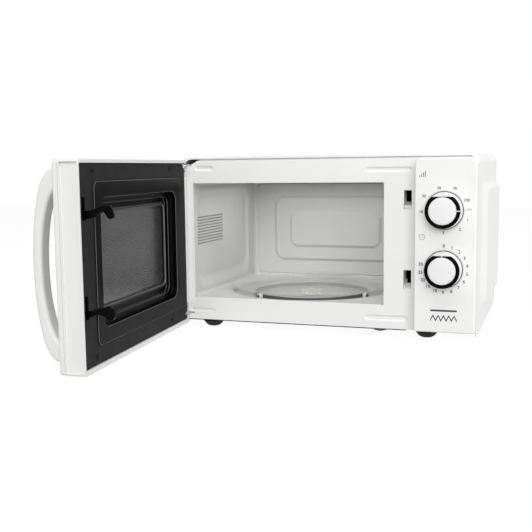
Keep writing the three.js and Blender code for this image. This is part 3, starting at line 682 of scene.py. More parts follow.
# Shade, roughness, scale of the smears, body, and how much light goes through if not all.
CLEAR = {
    "clear_glass": ((250, 253, 252), 0.02, 30, 0.3),
    "plate_glass": ((242, 244, 243), 0.06, 30, 0.28, 0.6),
    "screen_film": ((250, 253, 252), 0.24, 30, 0.3),
    "tinted_glass": ((84, 85, 88), 0.03, 25, 1.0),
    "heater_glass": ((236, 232, 224), 0.25, 80, 1.0, 0.5),
}

FINISHES = {make.__name__: make() for make in (zinc_steel, dull_steel, copper, mica, circuit_board)}
for make, table in ((moulded_plastic, MOULDED), (coated_sheet, PAINTED), (drawn_metal, DRAWN),
                    (clear_material, CLEAR)):
    FINISHES.update({name: make(name, *values) for name, values in table.items()})

# ---------------------------------------------------------------- cabinet shells

LINER_DEPTH = 275
WELL_RADIUS = 130
SIDE_VENTS = ((19.5, 114), (21.6, 118.6))


def press_wall(piece, face, base, axis, depth, crown=None, radius=None, steps=4):
    """Presses a panel into or out of one flat wall along a soft S, with round corners on a square wall."""
    select_faces(piece, face)
    bpy.ops.mesh.inset(thickness=5)
    fit_selected(piece, **base)
    if radius:
        bpy.ops.mesh.bevel(offset=radius, segments=6, affect="VERTICES")
        stop_edit()
        centre = {key: sum(pair) / 2 for key, pair in base.items()}
        near_centre = lambda c: all(abs(c[INDEX[key]] - value) < 8 for key, value in centre.items())
        select_faces(piece, lambda c, n: face(c, n) and near_centre(c))
    crown = crown or {key: grow(pair, -abs(depth) * 0.8) for key, pair in base.items()}
    risen = 0
    for i in range(1, steps + 1):
        share = i / steps
        rise = share * share * (3 - 2 * share)
        step = point_at(axis, (0, 0), depth * (rise - risen))
        bpy.ops.mesh.extrude_region_move(TRANSFORM_OT_translate={"value": step})
        between = lambda ends: ends[0] + (ends[1] - ends[0]) * share
        fit_selected(piece, **{key: [between(ends) for ends in zip(base[key], crown[key])] for key in base})
        risen = rise
    stop_edit()


def pressed_side(piece, outwards):
    """Presses a shallow bulge out of one side wall."""
    press_wall(piece, lambda c, n: n.x * outwards > 0.999, {"y": (30, 303), "z": (22, 209)}, "x",
               8 * outwards, crown={"y": (68, 278), "z": (36, 197)}, radius=14, steps=10)


def case_wrap():
    """Top and sides in one folded sheet, hemmed at the front."""
    _, y, z = limits("outer_case")
    piece = block("case_wrap", (0, CASE_WIDTH), y, z)
    round_corners(piece, "y", [0, 0, 12, 12], 8)
    for outwards in (-1, 1):
        pressed_side(piece, outwards)
    select_faces(piece, lambda c, n: n.y < -0.99 or (n.y > 0.99 and c.y > y[1] - 1) or n.z < -0.99)
    bpy.ops.mesh.delete(type="FACE")
    stop_edit()
    select_edges(piece, edges_in(y=(0, 0)))
    bpy.ops.mesh.extrude_edges_move(TRANSFORM_OT_translate={"value": (0, 0, 0)})
    fit_selected(piece, x=(2.8, CASE_WIDTH - 2.8), z=(z[0], CASE_TOP - 3.3))
    bpy.ops.mesh.extrude_edges_move(TRANSFORM_OT_translate={"value": (0, 6, 0)})
    stop_edit()
    flat_part = {"x": (1.5, CASE_WIDTH - 1.5), "z": (z[0] - 1, CASE_TOP - 1.5)}
    folded = lambda p: abs(p.y) < NEAR and not inside(p, **flat_part)
    select_edges(piece, lambda a, b: folded(a) and folded(b))
    bevel(0.9, 3)
    apply_modifier(piece, "SOLIDIFY", thickness=SHEET, offset=-1)
    cabinet_piece(piece, "white_paint", "outer_case")


def front_plate():
    """The painted front sheet, with its stiffening beads, its openings and the seam under the wrap."""
    x, _, z = limits("face_plate")
    piece = slab("front_plate", x, (0, SHEET), z, [2, 2, 9, 9])
    beads = (((20, 51.5), (228.5, 237)), ((286.5, 354.5), (224.5, 232.5)),
             ((8.5, 51.5), (9.9, 16.9)), ((286.5, 350.5), (9.5, 19)))
    grooves, backs = [], []
    for bx, bz in beads:
        radius = (bz[1] - bz[0]) / 2 - 0.2
        backs.append(slab("bead_back", bx, (0.5, 2.8), bz, radius))
        groove = slab("groove", bx, (-0.2, 1.8), bz, radius)
        select_faces(groove, lambda c, n: n.y > 0.99)
        fit_selected(groove, x=grow(bx, -2.6), z=grow(bz, -2.6))
        stop_edit()
        grooves.append(groove)
    backs.append(slab("seam_backing", (27, x[1] - 0.4), (0.5, 5.4), (240, CASE_TOP - 2), [1, 1, 9, 1]))
    seam = slab("seam", (20, x[1] + 5), (-1, 4.6), (z[1] + 0.02, CASE_TOP), 0.1)
    corner = [(-1, 239.4), (14.6, 238.8), (19, 240.6), (27.4, 246), (-1, 246)]
    through = (-2, 4)
    fuse(piece, *backs)
    carve(piece, seam, *grooves)
    carve(piece, cut_out("hinge_corner", corner, "y", (-2, 2.1)),
          slab("mouth", MOUTH["x"], through, MOUTH["z"], 1.4),
          *[slab("slot", SLOT_X, through, level, 0.8) for level in SLOTS],
          block("dial_opening", (376, 434), through, (30, 224)),
          *[block("hinge_notch", (4.5, 15.5), through, (level - 0.3, level + 1.9)) for level in TONGUES])
    rims = [(MOUTH["x"], MOUTH["z"], 0.1)] + [(SLOT_X, level, 0.3) for level in SLOTS]
    for rim_x, rim_z, margin in rims:
        select_edges(piece, edges_in(y=(0, 0), x=grow(rim_x, margin), z=grow(rim_z, 0.1)))
        bevel(0.6, 3)
    cabinet_piece(piece, "white_paint", "face_plate")


def oven_liner():
    """The painted steel liner: a stepped back wall, pressed side walls and a round well."""
    front = SHEET + 0.3
    piece = slab("oven_liner", MOUTH["x"], (front, LINER_DEPTH), MOUTH["z"], [0, 0, 10, 10], "z", 8)
    level_rim = lambda a, b: abs(a.z - b.z) < NEAR and max(a.y, b.y) > front + 1
    select_edges(piece, lambda a, b: level_rim(a, b) and (a.z < 34 or a.z > 209))
    bevel(5, 4)
    press_wall(piece, lambda c, n: n.y > 0.99, {"x": (23, 310), "z": (39, 204)}, "y", -2, radius=12)
    for wall, rise, x, z, radius in ((LINER_DEPTH - 2, 3.6, (57, 278), (63, 182), 16),
                                     (LINER_DEPTH - 5.6, 3.2, (87, 257), (88, 155), 13)):
        step = slab("step", x, (wall - rise, wall + 0.3), z, radius, segments=8)
        select_faces(step, lambda c, n: n.y < -0.99)
        fit_selected(step, x=grow(x, -5), z=grow(z, -5))
        stop_edit()
        select_edges(step, edges_in(y=(wall - rise, wall - rise)))
        bevel(1.2, 3)
        carve(piece, step)
    press_wall(piece, lambda c, n: n.x < -0.99, {"y": (14, 248), "z": (41, 198)}, "x", -5.5,
               crown={"y": (21, 236), "z": (62, 184)}, radius=30, steps=6)
    hub = hub_place()
    well = drum("well", "z", hub, (WELL_FLOOR, 40), WELL_RADIUS, 96)
    select_edges(well, edges_in(z=(WELL_FLOOR, WELL_FLOOR)))
    bevel(4, 4)
    fuse(piece, well)
    from_hub = lambda p: math.hypot(p.x - hub[0], p.y - hub[1])
    on_rim = lambda p: 33 < p.z < 34.2 and abs(from_hub(p) - WELL_RADIUS) < 1
    select_edges(piece, lambda a, b: on_rim(a) and on_rim(b))
    bevel(2.5, 4)
    select_faces(piece, lambda c, n: n.y < -0.99 and c.y < front + 0.1)
    bpy.ops.mesh.delete(type="FACE")
    stop_edit()
    apply_modifier(piece, "SOLIDIFY", thickness=0.5, offset=1)
    carve(piece, *liner_openings(hub))
    cabinet_piece(piece, "cavity_paint", "cavity_shell")


def hole_field(axis, centre, span, radius, columns, rows, column_step, row_step, sides=8):
    """A field of round punches; the steps are vectors."""
    punch = drum("punch", axis, centre, span, radius, sides)
    row(punch, columns, column_step)
    return row(punch, rows, row_step)


def liner_openings(hub):
    """The vents in both side walls and the ceiling, the shaft's hole and the window of the wave feed."""
    (left, right), top = MOUTH["x"], MOUTH["z"][1]
    through_right = (right - 3, right + 4)
    ceiling_slot = slab("ceiling_slot", (80, 251), (95, 103), (top - 3, top + 4), 3.9, axis="z")
    return [
        *[hole_field("x", centre, (left - 8, left + 3), 1.65, 26, 5, (0, 4.3, 0), (0, 0, 9.2))
          for centre in SIDE_VENTS],
        hole_field("x", (222, 164), through_right, 1.5, 7, 6, (0, 4.6, 0), (0, 0, 4.6)),
        row(ceiling_slot, 7, (0, 14, 0)),
        drum("shaft_hole", "z", hub, (15, 25), 7, 32),
        block("feed_window", through_right, (78, 128), (124, 184))]


def vent_duct():
    """A black duct behind the perforated field in the left wall, put there as the shade seen through its
    holes.
    """
    inner = MOUTH["x"][0] - 6.6
    piece = block("vent_duct", (inner - 4, inner), (12, 138), (108, 162))
    carve(piece, block("hollow", (inner - 3, inner + 1), (13.5, 136.5), (109.5, 160.5)))
    soften(piece, 0.4, 2, 40)
    # Its black stands in for the shade behind the vent holes.
    cabinet_piece(piece, "dark_plastic", look="black_plastic")


def underside():
    """The base pan, with its vents, stiffening ribs and turned-up flanges."""
    x, y, (bottom, top) = limits("base_pan")
    low = bottom + 0.8
    piece = slab("underside", x, y, (low, top), 2, axis="z")
    left, behind, above = 346, 62, low + 2.4
    step = block("step", (left, CASE_WIDTH), (-1, behind), (low - 1, above))
    step_wall = block("step_wall", (left - SHEET, CASE_WIDTH), (-1, behind + SHEET), (low - 1, above + SHEET))
    hollow = block("hollow", grow(x, -SHEET), grow(y, -SHEET), (low + SHEET, top + 2))
    carve(piece, step, carve(hollow, step_wall))
    fuse(piece, turned("dome", [
        (0, -11.6), (4, -11.4), (9, -10), (13, -7.6), (15, low - 0.5), (16, low), (16, low + 0.5),
        (0, low + 0.5)], (303, 36, 0), "z", 40))
    vent = slab("vent", (355, 359), (166, 198), (low - 1, 0), 1.9, axis="z")
    carve(piece, block("front_notch", grow(x, 1), (y[0] - 1, y[0] + 1.5), (-0.3, top + 1)),
          row(vent, 8, (9, 0, 0)),
          hole_field("z", (60, 60), (low - 1, 0), 2.5, 8, 5, (8, 0, 0), (0, 8, 0), 12))
    inner = low + SHEET
    ribs = [slab("rib", (110, 320), (level, level + 6), (inner - 0.2, inner + 1.2), 2.9, axis="z")
            for level in (32, 268)]
    fuse(piece, combine("ribs", *ribs))
    soften(piece, 0.25, 2, 50)
    # The base pan's steel is painted dark as the shade that falls under the oven.
    cabinet_piece(piece, "zinc_steel", "base_pan", look="dull_steel")


def back_sheet():
    """The rear panel: two fields of vents with pressed frames, and the hole for the grommet."""
    x, y, z = limits("rear_panel")
    piece = slab("back_sheet", x, y, z, [0, 0, 10, 10])
    raised = (y[1] - 0.3, y[1] + 0.8)
    frames = [slab("frame", (344, 426), raised, (101, 204), 6),
              slab("frame", (82, 172), raised, (209, 241), 5)]
    for border in frames:
        soften(border, 0.7, 3, 50)
    fuse(piece, combine("frames", *frames))
    through = grow(y, 2)
    vent = slab("vent", (350, 420), through, (107.5, 111.5), 1.9)
    small_vent = slab("vent", (90, 94), through, (214, 236), 1.9)
    gland = middle("cord_gland")
    carve(piece, row(vent, 10, (0, 0, 9)), row(small_vent, 6, (14, 0, 0)),
          drum("cord_hole", "y", (gland.x, gland.z), through, 8, 32))
    soften(piece, 0.2, 2, 50)
    cabinet_piece(piece, "zinc_steel", "rear_panel")


def back_screws():
    """Hexagon-washer screws that hold the wrap to the rear panel."""
    y = limits("rear_panel")[1][1]
    screws = []
    for x, z in ((8, 12), (8, 120), (8, 232), (439, 12), (439, 120), (439, 232), (223, 243), (223, 4)):
        head = turned("head", [(0, 1.1), (2.2, 1.1), (2.6, 0.8), (2.6, 0.4), (3.8, 0.3), (3.8, 0), (0, 0)],
                      (x, y + 0.05, z), "y", 20)
        for wide, tall in ((1.5, 0.25), (0.25, 1.5)):
            carve(head, block("cross", around(x, wide), (y + 0.6, y + 2), around(z, tall)))
        screws.append(head)
    cabinet_piece(combine("back_screws", *screws), "zinc_steel")


def grommet():
    """The plastic bush in the rear panel, with its bore."""
    centre = middle("cord_gland")
    low, high = limits("cord_gland")[1]
    piece = turned("grommet", [
        (3.8, low), (7.3, low), (7.7, low + 0.6), (7.7, high - 3.4), (10.6, high - 3), (11, high - 2.4),
        (10.4, high - 0.6), (9, high), (4.8, high), (3.8, high - 1), (3.8, low)],
        (centre.x, 0, centre.z), "y", 40)
    cabinet_piece(piece, "black_plastic", "cord_gland")


def feet():
    """Four rubber feet; the front right one reaches up into the step of the base."""
    for corner in ("front_left", "front_right", "rear_left", "rear_right"):
        centre = middle(f"foot_{corner}")
        low, high = limits(f"foot_{corner}")[2]
        high += 2.2 if corner == "front_right" else 0
        piece = turned(f"{corner}_foot", [
            (0, low + 0.8), (4.4, low + 0.8), (5.2, low), (6.6, low), (8.8, low + 0.7), (11, low + 2),
            (13, low + 3.9), (14.3, low + 5.8), (15.3, low + 7.4), (16.5, high - 0.5), (16.5, high),
            (0, high)], (centre.x, centre.y, 0), "z", 40)
        cabinet_piece(piece, "rubber", f"foot_{corner}")


# ---------------------------------------------------------------- control side

# The front of the panel and the film of ink on it, and how tall a digit is for its font's size.
PANEL_FACE = -33
INK = (PANEL_FACE - 0.07, PANEL_FACE)
CAP_SHARE = 0.72

# How high each knob's ring is cut flat, so that the white skirt behind shows there as a painted highlight,
# the timer's minutes and the angle between two of them, and the power levels with their angle and their
# distance from the dial's middle.
KNOB_HIGHLIGHT_CUT = {"timer": 20.4, "power": 19.2}
MINUTES = (0, 1, 2, 3, 4, 5, 6, 7, 8, 9, 10, 15, 20, 25, 30)
MINUTE_TURN = 20.1
LEVELS = (("10", 266, 31.5), ("30", 305, 34), ("50", 346, 31), ("70", 25, 32.5), ("100", 65, 32.5),
          ("1", 112, 33.5), ("2", 141, 33.5), ("3", 182, 30.5))


def front_panel():
    """The moulded panel around the two dials."""
    x, y, z = limits("control_panel")
    piece = slab("front_panel", x, y, z, [4, 4, 10, 6], segments=8)
    select_edges(piece, edges_in(y=(y[0], y[0])))
    bevel(2.2, 5)
    dials = [middle(f"{name}_knob") for name in ("timer", "power")]
    carve(piece, slab("hollow", grow(x, -2.4), (y[0] + 2.4, 1), grow(z, -2.4), [2, 2, 8, 4]))
    for reach, radius, sides in ((4, 5, 32), (0.5, 26.6, 96)):
        for dial in dials:
            carve(piece, drum("hole", "y", (dial.x, dial.z), (y[0] - 1, y[0] + reach), radius, sides))
    cabinet_piece(piece, "white_plastic", "control_panel")


def printed(name, text, x, z, height):
    """A flat printed number on the panel, centred on a point."""
    mark = added(name, bpy.ops.object.text_add, location=(0, 0, 0))
    mark.data.body = text
    mark.data.size = height / CAP_SHARE
    mark.data.align_x = mark.data.align_y = "CENTER"
    mark.data.extrude = 0.04
    mark.data.offset = 0.13
    mark.data.resolution_u = 4
    bpy.ops.object.convert(target="MESH")
    mark = bpy.context.active_object
    mark.rotation_euler = (QUARTER, 0, 0)
    mark.location = (x, PANEL_FACE - 0.03, z)
    return put_down(mark)


def ring_mark(name, x, z, radius, width):
    """A flat printed circle."""
    inner = radius - width
    return turned(name, [(inner, 0), (radius, 0), (radius, 0.07), (inner, 0.07), (inner, 0)],
                  (x, INK[0], z), "y", 32)


def bar_mark(x, z):
    return block("bar", x, INK, z)


def dial_number(name, text, dial, degrees, reach, height):
    """A number at an angle from the top of a dial, clockwise, and at a distance from its middle."""
    angle = math.radians(degrees)
    return printed(name, text, dial.x + reach * math.sin(angle), dial.z + reach * math.cos(angle), height)


def zigzag(x, z, width, height, teeth, stroke):
    """A heating-element sign: a zigzag line with square ends."""
    step = width / (2 * teeth)
    line = [(x - width / 2 + step * i, z + (height / 2 if i % 2 else -height / 2))
            for i in range(2 * teeth + 1)]
    lift = stroke * 1.25
    outline = [(u, v + lift) for u, v in line] + [(u, v - lift) for u, v in reversed(line)]
    return cut_out("zigzag", outline, "y", INK)


def panel_print():
    """Everything printed on the panel.

    Minutes stand round the lower dial, power in percent and the combined levels round the upper one,
    with rising bars, a clock and heating-element signs beside them.
    """
    power, timer = middle("power_knob"), middle("timer_knob")
    marks = [dial_number(f"minute_{minute}", str(minute), timer, place * MINUTE_TURN, 32, 4.6)
             for place, minute in enumerate(MINUTES)]
    marks += [dial_number(f"level_{text}", text, power, degrees, reach, 3.8)
              for text, degrees, reach in LEVELS]
    for i in range(4):
        x = 370.2 + 2.5 * i
        marks.append(bar_mark((x, x + 0.7 + 0.1 * i), (217.9, 217.9 + (2.4 + 1.9 * i))))
    marks.append(ring_mark("clock", 374.5, 135.8, 4.1, 0.5))
    marks += [bar_mark((374.3, 374.75), (135.8, 138.6)), bar_mark((374.3, 376.4), (135.6, 136.05))]
    marks.append(zigzag(power.x + 33.5, power.z + 1.2, 6, 2.2, 3, 0.35))
    marks.append(bar_mark((power.x + 27.9, power.x + 29.6), around(power.z, 0.25)))
    marks += [zigzag(404.9, 24, 36, 7, 5, 1.2), bar_mark((386.9, 422.9), (33.2, 35.8))]
    piece = merge_doubles(combine("panel_print", *marks), 0.002)
    cabinet_piece(piece, "dark_plastic", look="printed_ink")


def knob(dial):
    """A dial knob: a bright skirt, a polished black ring cut flat at the top so the skirt shows there as a
    painted highlight, a thin black foot painted as the shadow gap at its base, a pale face and a pointer
    line.
    """
    node = f"{dial}_knob"
    centre = middle(node)
    front, back = limits(node)[1]
    face = front + 0.6

    def lathed(part, profile):
        return turned(f"{dial}_{part}", profile, (centre.x, 0, centre.z), "y", 96)

    def fit(piece, slot, *nodes, look=None):
        finish(piece, CABINET, node, slot, *nodes, look=look)

    fit(lathed("skirt", [
        (0, back - 1), (3.3, back - 1), (3.3, back), (25, back), (25.1, back - 2), (24.7, back - 6),
        (24.1, face + 3.4), (23.9, face + 1.6), (23.4, face + 1), (0, face + 1)]), "white_plastic", node)
    # A thin black ring at the skirt's base, painted as the shadow gap round the knob.
    fit(lathed("foot", [
        (24.8, back - 1.6), (25.4, back - 1.7), (25.9, back - 1.3), (25.9, back - 0.2), (24.8, back),
        (24.8, back - 1.6)]), "black_plastic", look="knob_black")
    ring = lathed("ring", [
        (18.7, face + 1.9), (18.7, face + 0.5), (19.1, face + 0.15), (19.7, face), (22.2, face + 0.05),
        (23.2, face + 0.5), (23.8, face + 1.3), (24, face + 2.6), (23.4, face + 3), (19.3, face + 2.8),
        (18.7, face + 1.9)])
    # The ring's top is cut away so the white skirt behind shows there as a painted highlight.
    flat = (centre.z + KNOB_HIGHLIGHT_CUT[dial], centre.z + 30)
    carve(ring, block("flat", around(centre.x, 20), (face - 1, face + 4), flat))
    fit(ring, "black_plastic", look="knob_black")
    fit(lathed("face", [
        (0, face - 0.05), (8, face), (15, face + 0.2), (17.6, face + 0.4), (18.2, face + 0.7),
        (18.4, face + 1.2), (18.4, face + 2.6), (0, face + 2.6)]), "white_plastic", look="knob_face")
    line = slab(f"{dial}_pointer", around(centre.x, 0.7), (face - 0.15, face + 1.4),
                (centre.z + 18.9, centre.z + 23.4), 0.3)
    if dial == "power":
        about = Matrix.Translation((centre.x, 0, centre.z))
        line.matrix_world = about @ Matrix.Rotation(QUARTER, 4, "Y") @ about.inverted()
        put_down(line)
    soften(line, 0.2, 2)
    fit(line, "white_plastic", look="knob_face")


# ---------------------------------------------------------------- latching and hinges


def latch_carrier():
    """The moulding behind the face plate, with a ramp under each catch and room for the hooks."""
    x, y, z = limits("latch_board")
    piece = block("latch_carrier", x, (1.3, 4), z)
    carve(piece, *[block("window", SLOT_X, (0, 6), level) for level in SLOTS])
    ribs = [block("rib", across, (3.5, y[1]), z) for across in ((x[0], x[0] + 2.5), (x[1] - 2.5, x[1]))]
    parts = [block("catch", (338, 361), (10, 28), level) for level in ((166, 177), (48, 61.5))]
    for low, high in SLOTS:
        ramp = [(3.6, low + 2), (3.6, low - 3), (25, low - 3), (25, low + 13)]
        parts.append(cut_out("ramp", ramp, "x", (341, 361)))
        parts.append(block("cheek", (341.4, 343.2), (1.6, 25), (low - 3, high + 2)))
    fuse(piece, combine("ribs", *ribs), *parts)
    hook_room = ((23.4, 26), (179, 187)), ((16.4, 29), (61.5, 72)), ((21.4, 29), (58.6, 63))
    carve(piece, *[block("room", (345, 351.4), depth, level) for depth, level in hook_room])
    soften(piece, 0.3, 2, 40)
    cabinet_piece(piece, "ceramic", "latch_board", look="white_plastic")


def hinge(node, name, level, pin_span):
    """A hinge arm: a flat tongue with rounded tip, its root plate and the pin."""
    thickness = (level, level + 1.6)
    piece = slab(name, (0.2, 9.2), (-10, 12), thickness, [4.2, 4.2, 0, 0], axis="z")
    carve(piece, block("clear", (-2, 4.9), (-0.3, 13), grow(thickness, 1)))
    fuse(piece, block("inner", (5.3, 15), (2.6, 11.9), grow(thickness, -0.05)),
         slab("root", (5.6, 15), (2.5, 4), limits(node)[2], 1),
         drum("pin", "z", (4.2, -6), pin_span, 1.5, 24))
    soften(piece, 0.25, 2, 40)
    cabinet_piece(piece, "bright_steel", node)


# ---------------------------------------------------------------- door

# Areas of the door, from the black panel's outline in to the window, and what sits in its free edge.
INNER = {"x": (4.4, 355.5), "z": (0.9, 240.8)}
CHOKE = {"x": (27, 318), "z": (22, 219.5)}
RECESS = {"x": (48, 302), "z": (42, 200)}
WINDOW = {"x": (62, 286), "z": (66, 177)}
COVER_OPENING = {"x": (38, 312), "z": (38, 208)}
HOOK_SLOTS = ((175, 202), (59, 87))
DOOR_SCREWS = ("upper_left", "upper_right", "lower_left", "lower_right")


def pane(name, area, margin, y, radius, segments=8):
    """A flat piece over one of the door's areas and a margin round it."""
    return slab(name, grow(area["x"], margin), y, grow(area["z"], margin), radius, segments=segments)


def hinge_pockets():
    """Room for the tongue of each hinge, as the door swings round it."""
    return [block("pocket", (-5, 12), (-9.5, 8), (level - 2, level + 3.6)) for level in TONGUES]


def door_ring():
    """The white rear ring of the door, with its sunk free edge and the rim round the black panel."""
    x, y, z = limits("door_surround", DOOR)
    piece = slab("door_ring", x, y, z, 3)
    carve(piece, slab("inside", (4, 355.9), grow(y, 1), (0.5, 241.2), 2))
    fuse(piece, slab("edge_backing", (353.2, 356.4), (y[0] + 0.4, -1.7), grow(z, -2.6), 0.6, axis="x"))
    sunk = grow(y, -2.2)
    carve(piece, block("edge_recess", (x[1] - 1.7, x[1] + 1), sunk, (z[0] + 3.4, z[1] - 3)),
          block("lip_shade", (x[1] - 3.6, x[1] - 1), sunk, (z[1] - 5.4, z[1] - 3)),
          block("top_recess", grow(x, -3.4), sunk, (z[1] - 0.8, z[1] + 1)),
          block("bottom_recess", grow(x, -3.4), sunk, (z[0] - 1, z[0] + 0.8)),
          block("relief", (-5, 4.1), (0.4, 8), grow(z, 1)), *hinge_pockets(),
          *[block("pin_pocket", (-2.6, 12), (-9.5, 0.9), level) for level in ((9, 26), (220, 236))])
    soften(piece, 0.4, 3, 40)
    door_piece(piece, "white_plastic", "door_surround", look="door_plastic")


def door_cover():
    """The white front moulding, with the opening for the window."""
    x, y, z = limits("door_front", DOOR)
    piece = slab("door_cover", x, y, z, 5, segments=8)
    select_edges(piece, edges_in(y=(y[0], y[0])))
    bevel(2.4, 5)
    carve(piece, slab("hollow", grow(x, -2.5), (y[0] + 2.5, y[1] + 1), grow(z, -2.5), 3),
          pane("opening", COVER_OPENING, 0, grow(y, 2), 14))
    rim = {axis: grow(pair, 0.1) for axis, pair in COVER_OPENING.items()}
    select_edges(piece, edges_in(y=(y[0], y[0]), **rim))
    bevel(1.6, 4)
    door_piece(piece, "white_plastic", "door_front", look="door_plastic")


def window_glass():
    """The tinted outer window."""
    x, y, z = limits("door_window", DOOR)
    piece = slab("window_glass", x, y, z, 8)
    soften(piece, 0.4, 2, 50)
    door_piece(piece, "tinted_glass", "door_window")


def inner_frame():
    """The pressed black steel frame: a flange round a deep tray with the window in its floor."""
    wall, depth = 1.2, 17.3
    piece = slab("inner_frame", INNER["x"], (-wall, 0), INNER["z"], 3)
    fuse(piece, pane("tray", RECESS, 3, (-depth - wall, -0.4), 18))
    carve(piece, pane("groove", CHOKE, 1.3, (-0.9, 1), 10.3),
          pane("hollow", RECESS, 1.8, (-depth, 1), 16.8),
          pane("window", WINDOW, 0, (-25, 1), 10, 6))
    screws = [middle(f"door_screw_{corner}", DOOR) for corner in DOOR_SCREWS]
    carve(piece, *[block("hook_slot", (340, 348), (-3, 1), level) for level in HOOK_SLOTS],
          *[drum("hole", "y", (screw.x, screw.z), (-3, 1), 1.9, 20) for screw in screws],
          *hinge_pockets())
    ears = [slab("ear", (-2.3, 10), (-8, -0.5), level, 2, axis="z") for level in ((18, 19.6), (228, 229.6))]
    fuse(piece, *ears)
    carve(piece, drum("pin_hole", "z", (0, -PANEL_OFFSET), (10, 235), 1.8, 24))
    soften(piece, 0.35, 2, 40)
    door_piece(piece, "black_paint", "door_frame")


def choke_moulding():
    """The black moulding over the choke slots, stepping down in two ledges to the window; its rounded edges
    are painted lighter grey as highlight lines.
    """
    x, _, z = limits("door_choke_cover", DOOR)
    piece = slab("choke_moulding", x, (-0.7, 1.5), z, 9, segments=8)
    fuse(piece, pane("lining", RECESS, 1.3, (-15.7, 1), 16.3))
    opening = pane("opening", RECESS, 0, (-9, 3), 15)
    select_edges(opening, edges_in(y=(-9, -9)))
    bevel(4.5, 5)
    carve(piece, opening,
          slab("ledge", grow(RECESS["x"], -7), (-14, -5), grow(RECESS["z"], -8), 12, segments=8),
          pane("window", WINDOW, 3, (-17, -5), 10, 6))
    bead = pane("bead", WINDOW, 6.5, (-14.2, -13), 11, 6)
    fuse(piece, carve(bead, pane("bead_hole", WINDOW, 4.2, (-16, -10), 10, 6)))
    piece.data.materials.clear()
    for _ in range(2):
        piece.data.materials.append(None)
    # The rounded edges get a lighter grey, painted as highlight lines.
    soften(piece, 1.0, 3, 40, edge_material=1)
    door_piece(piece, "black_plastic", "door_choke_cover", edges="edge_gloss")


def microwave_screen():
    """The perforated steel screen behind the film: hexagon holes in staggered rows."""
    x, y, z = limits("door_mesh", DOOR)
    pitch, web = 2.5, 0.36
    field_x, field_z = grow(WINDOW["x"], 1), grow(WINDOW["z"], 1)
    rise = pitch * math.sqrt(3) / 2
    columns = int((field_x[1] - field_x[0]) / pitch) + 1
    rows = int((field_z[1] - field_z[0]) / (2 * rise)) + 1
    piece = put_down(added(
        "microwave_screen", bpy.ops.mesh.primitive_circle_add, vertices=6, radius=pitch / math.sqrt(3),
        fill_type="NGON", location=(field_x[0], y[1], field_z[0]), rotation=(QUARTER, 0, 0)))
    edit_all(piece)
    bpy.ops.mesh.inset(thickness=web)
    bpy.ops.mesh.delete(type="FACE")
    stop_edit()
    neighbour = copy_of(piece, "neighbour", move=(pitch / 2, 0, rise))
    combine("microwave_screen", piece, neighbour)
    row(piece, columns, (pitch, 0, 0))
    row(piece, rows, (0, 0, 2 * rise))
    merge_doubles(piece, 0.01, outwards=False)
    apply_modifier(piece, "SOLIDIFY", thickness=y[1] - y[0], offset=-1)
    border = slab("border", x, y, z, 8)
    carve(border, slab("field", grow(field_x, -0.6), grow(y, 1), grow(field_z, -0.6), 2))
    combine("microwave_screen", piece, border)
    door_piece(piece, "black_paint", "door_mesh")


def inner_film():
    """The clear film that seals the screen."""
    x, y, z = limits("door_film", DOOR)
    piece = slab("inner_film", x, y, z, 12)
    soften(piece, 0.2, 2, 50)
    door_piece(piece, "clear_glass", "door_film", look="screen_film")


def bow_handle():
    """The arched handle: a curved outer edge, a flatter inner edge and feet that meet the door."""
    x, y, z = limits("door_handle", DOOR)
    foot, middle_z = y[1], sum(z) / 2
    crest, shoulder, belly = y[0] - 3.4, -56.5, -54.2

    def route(start, *curves):
        """Points through curves whose places are given as (out from the door, up from the middle)."""
        points = [(start[0], middle_z + start[1])]
        for steps, *ends in curves:
            points += curve_through(points[-1], *[(out, middle_z + up) for out, up in ends], steps)
        return points

    outer = route((foot, -116), (8, (-46, -114), (-52, -103), (shoulder, -88)),
                  (16, (crest, -40), (crest, 40), (shoulder, 88)),
                  (8, (-52, 103), (-46, 114), (foot, 116)))
    inner = route((foot, 92), (10, (-46, 84), (belly, 44), (belly, 0)),
                  (10, (belly, -44), (-46, -84), (foot, -92)))
    piece = cut_out("bow_handle", outer + inner, "x", x)
    above_foot = lambda a, b: a.y < foot - 0.5 or b.y < foot - 0.5
    select_edges(piece, lambda a, b: abs(a.x - b.x) < NEAR and above_foot(a, b))
    bevel(4.5, 5)
    door_piece(piece, "white_plastic", "door_handle", look="door_plastic")


def hooked_bar():
    """The latch bar inside the free edge, with the two hooks that reach into the slots."""
    x = limits("latch_bar", DOOR)[0]
    rail = block("hooked_bar", x, (-14, -9), (58, 200))
    upper = cut_out("upper_hook", [
        (-10, 176.4), (5, 177), (9, 177.6), (16, 180), (21.5, 184), (25.4, 185.6), (28, 182), (31, 178),
        (34.5, 176.6), (37.4, 178), (38.6, 181), (37.4, 186), (35, 191.4), (33.4, 192.6), (27, 192.6),
        (22, 191.4), (16, 189), (9, 186.6), (-10, 186.4)], "x", x)
    lower = cut_out("lower_hook", [
        (-10, 60.6), (3, 61.8), (12, 66), (19, 66), (22, 64.4), (26, 61), (29.5, 59.8), (33, 60.6),
        (35.6, 63.6), (36, 67.6), (33.6, 73.4), (30.4, 76), (26.6, 76.8), (23.6, 75), (16, 74),
        (8, 70.6), (-10, 69.4)], "x", x)
    piece = fuse(rail, upper, lower)
    soften(piece, 0.6, 3, 25)
    finish(piece, DOOR, "latch_bar", "black_plastic", "latch_bar")


def latch_guides():
    """Two dark sleeves behind the inner panel that guide the hooks."""
    sleeves = []
    for level in HOOK_SLOTS:
        outer = grow(level, 1.4)
        sleeve = block("sleeve", (338.4, 349.6), (-8.6, -1.4), outer)
        carve(sleeve, block("bore", (340, 348), (-10, 1), level))
        sleeves += [sleeve, block("back", (338.4, 341.2), (-21, -8.4), outer)]
    piece = combine("latch_guides", *sleeves)
    soften(piece, 0.2, 2, 40)
    door_piece(piece, "black_plastic")


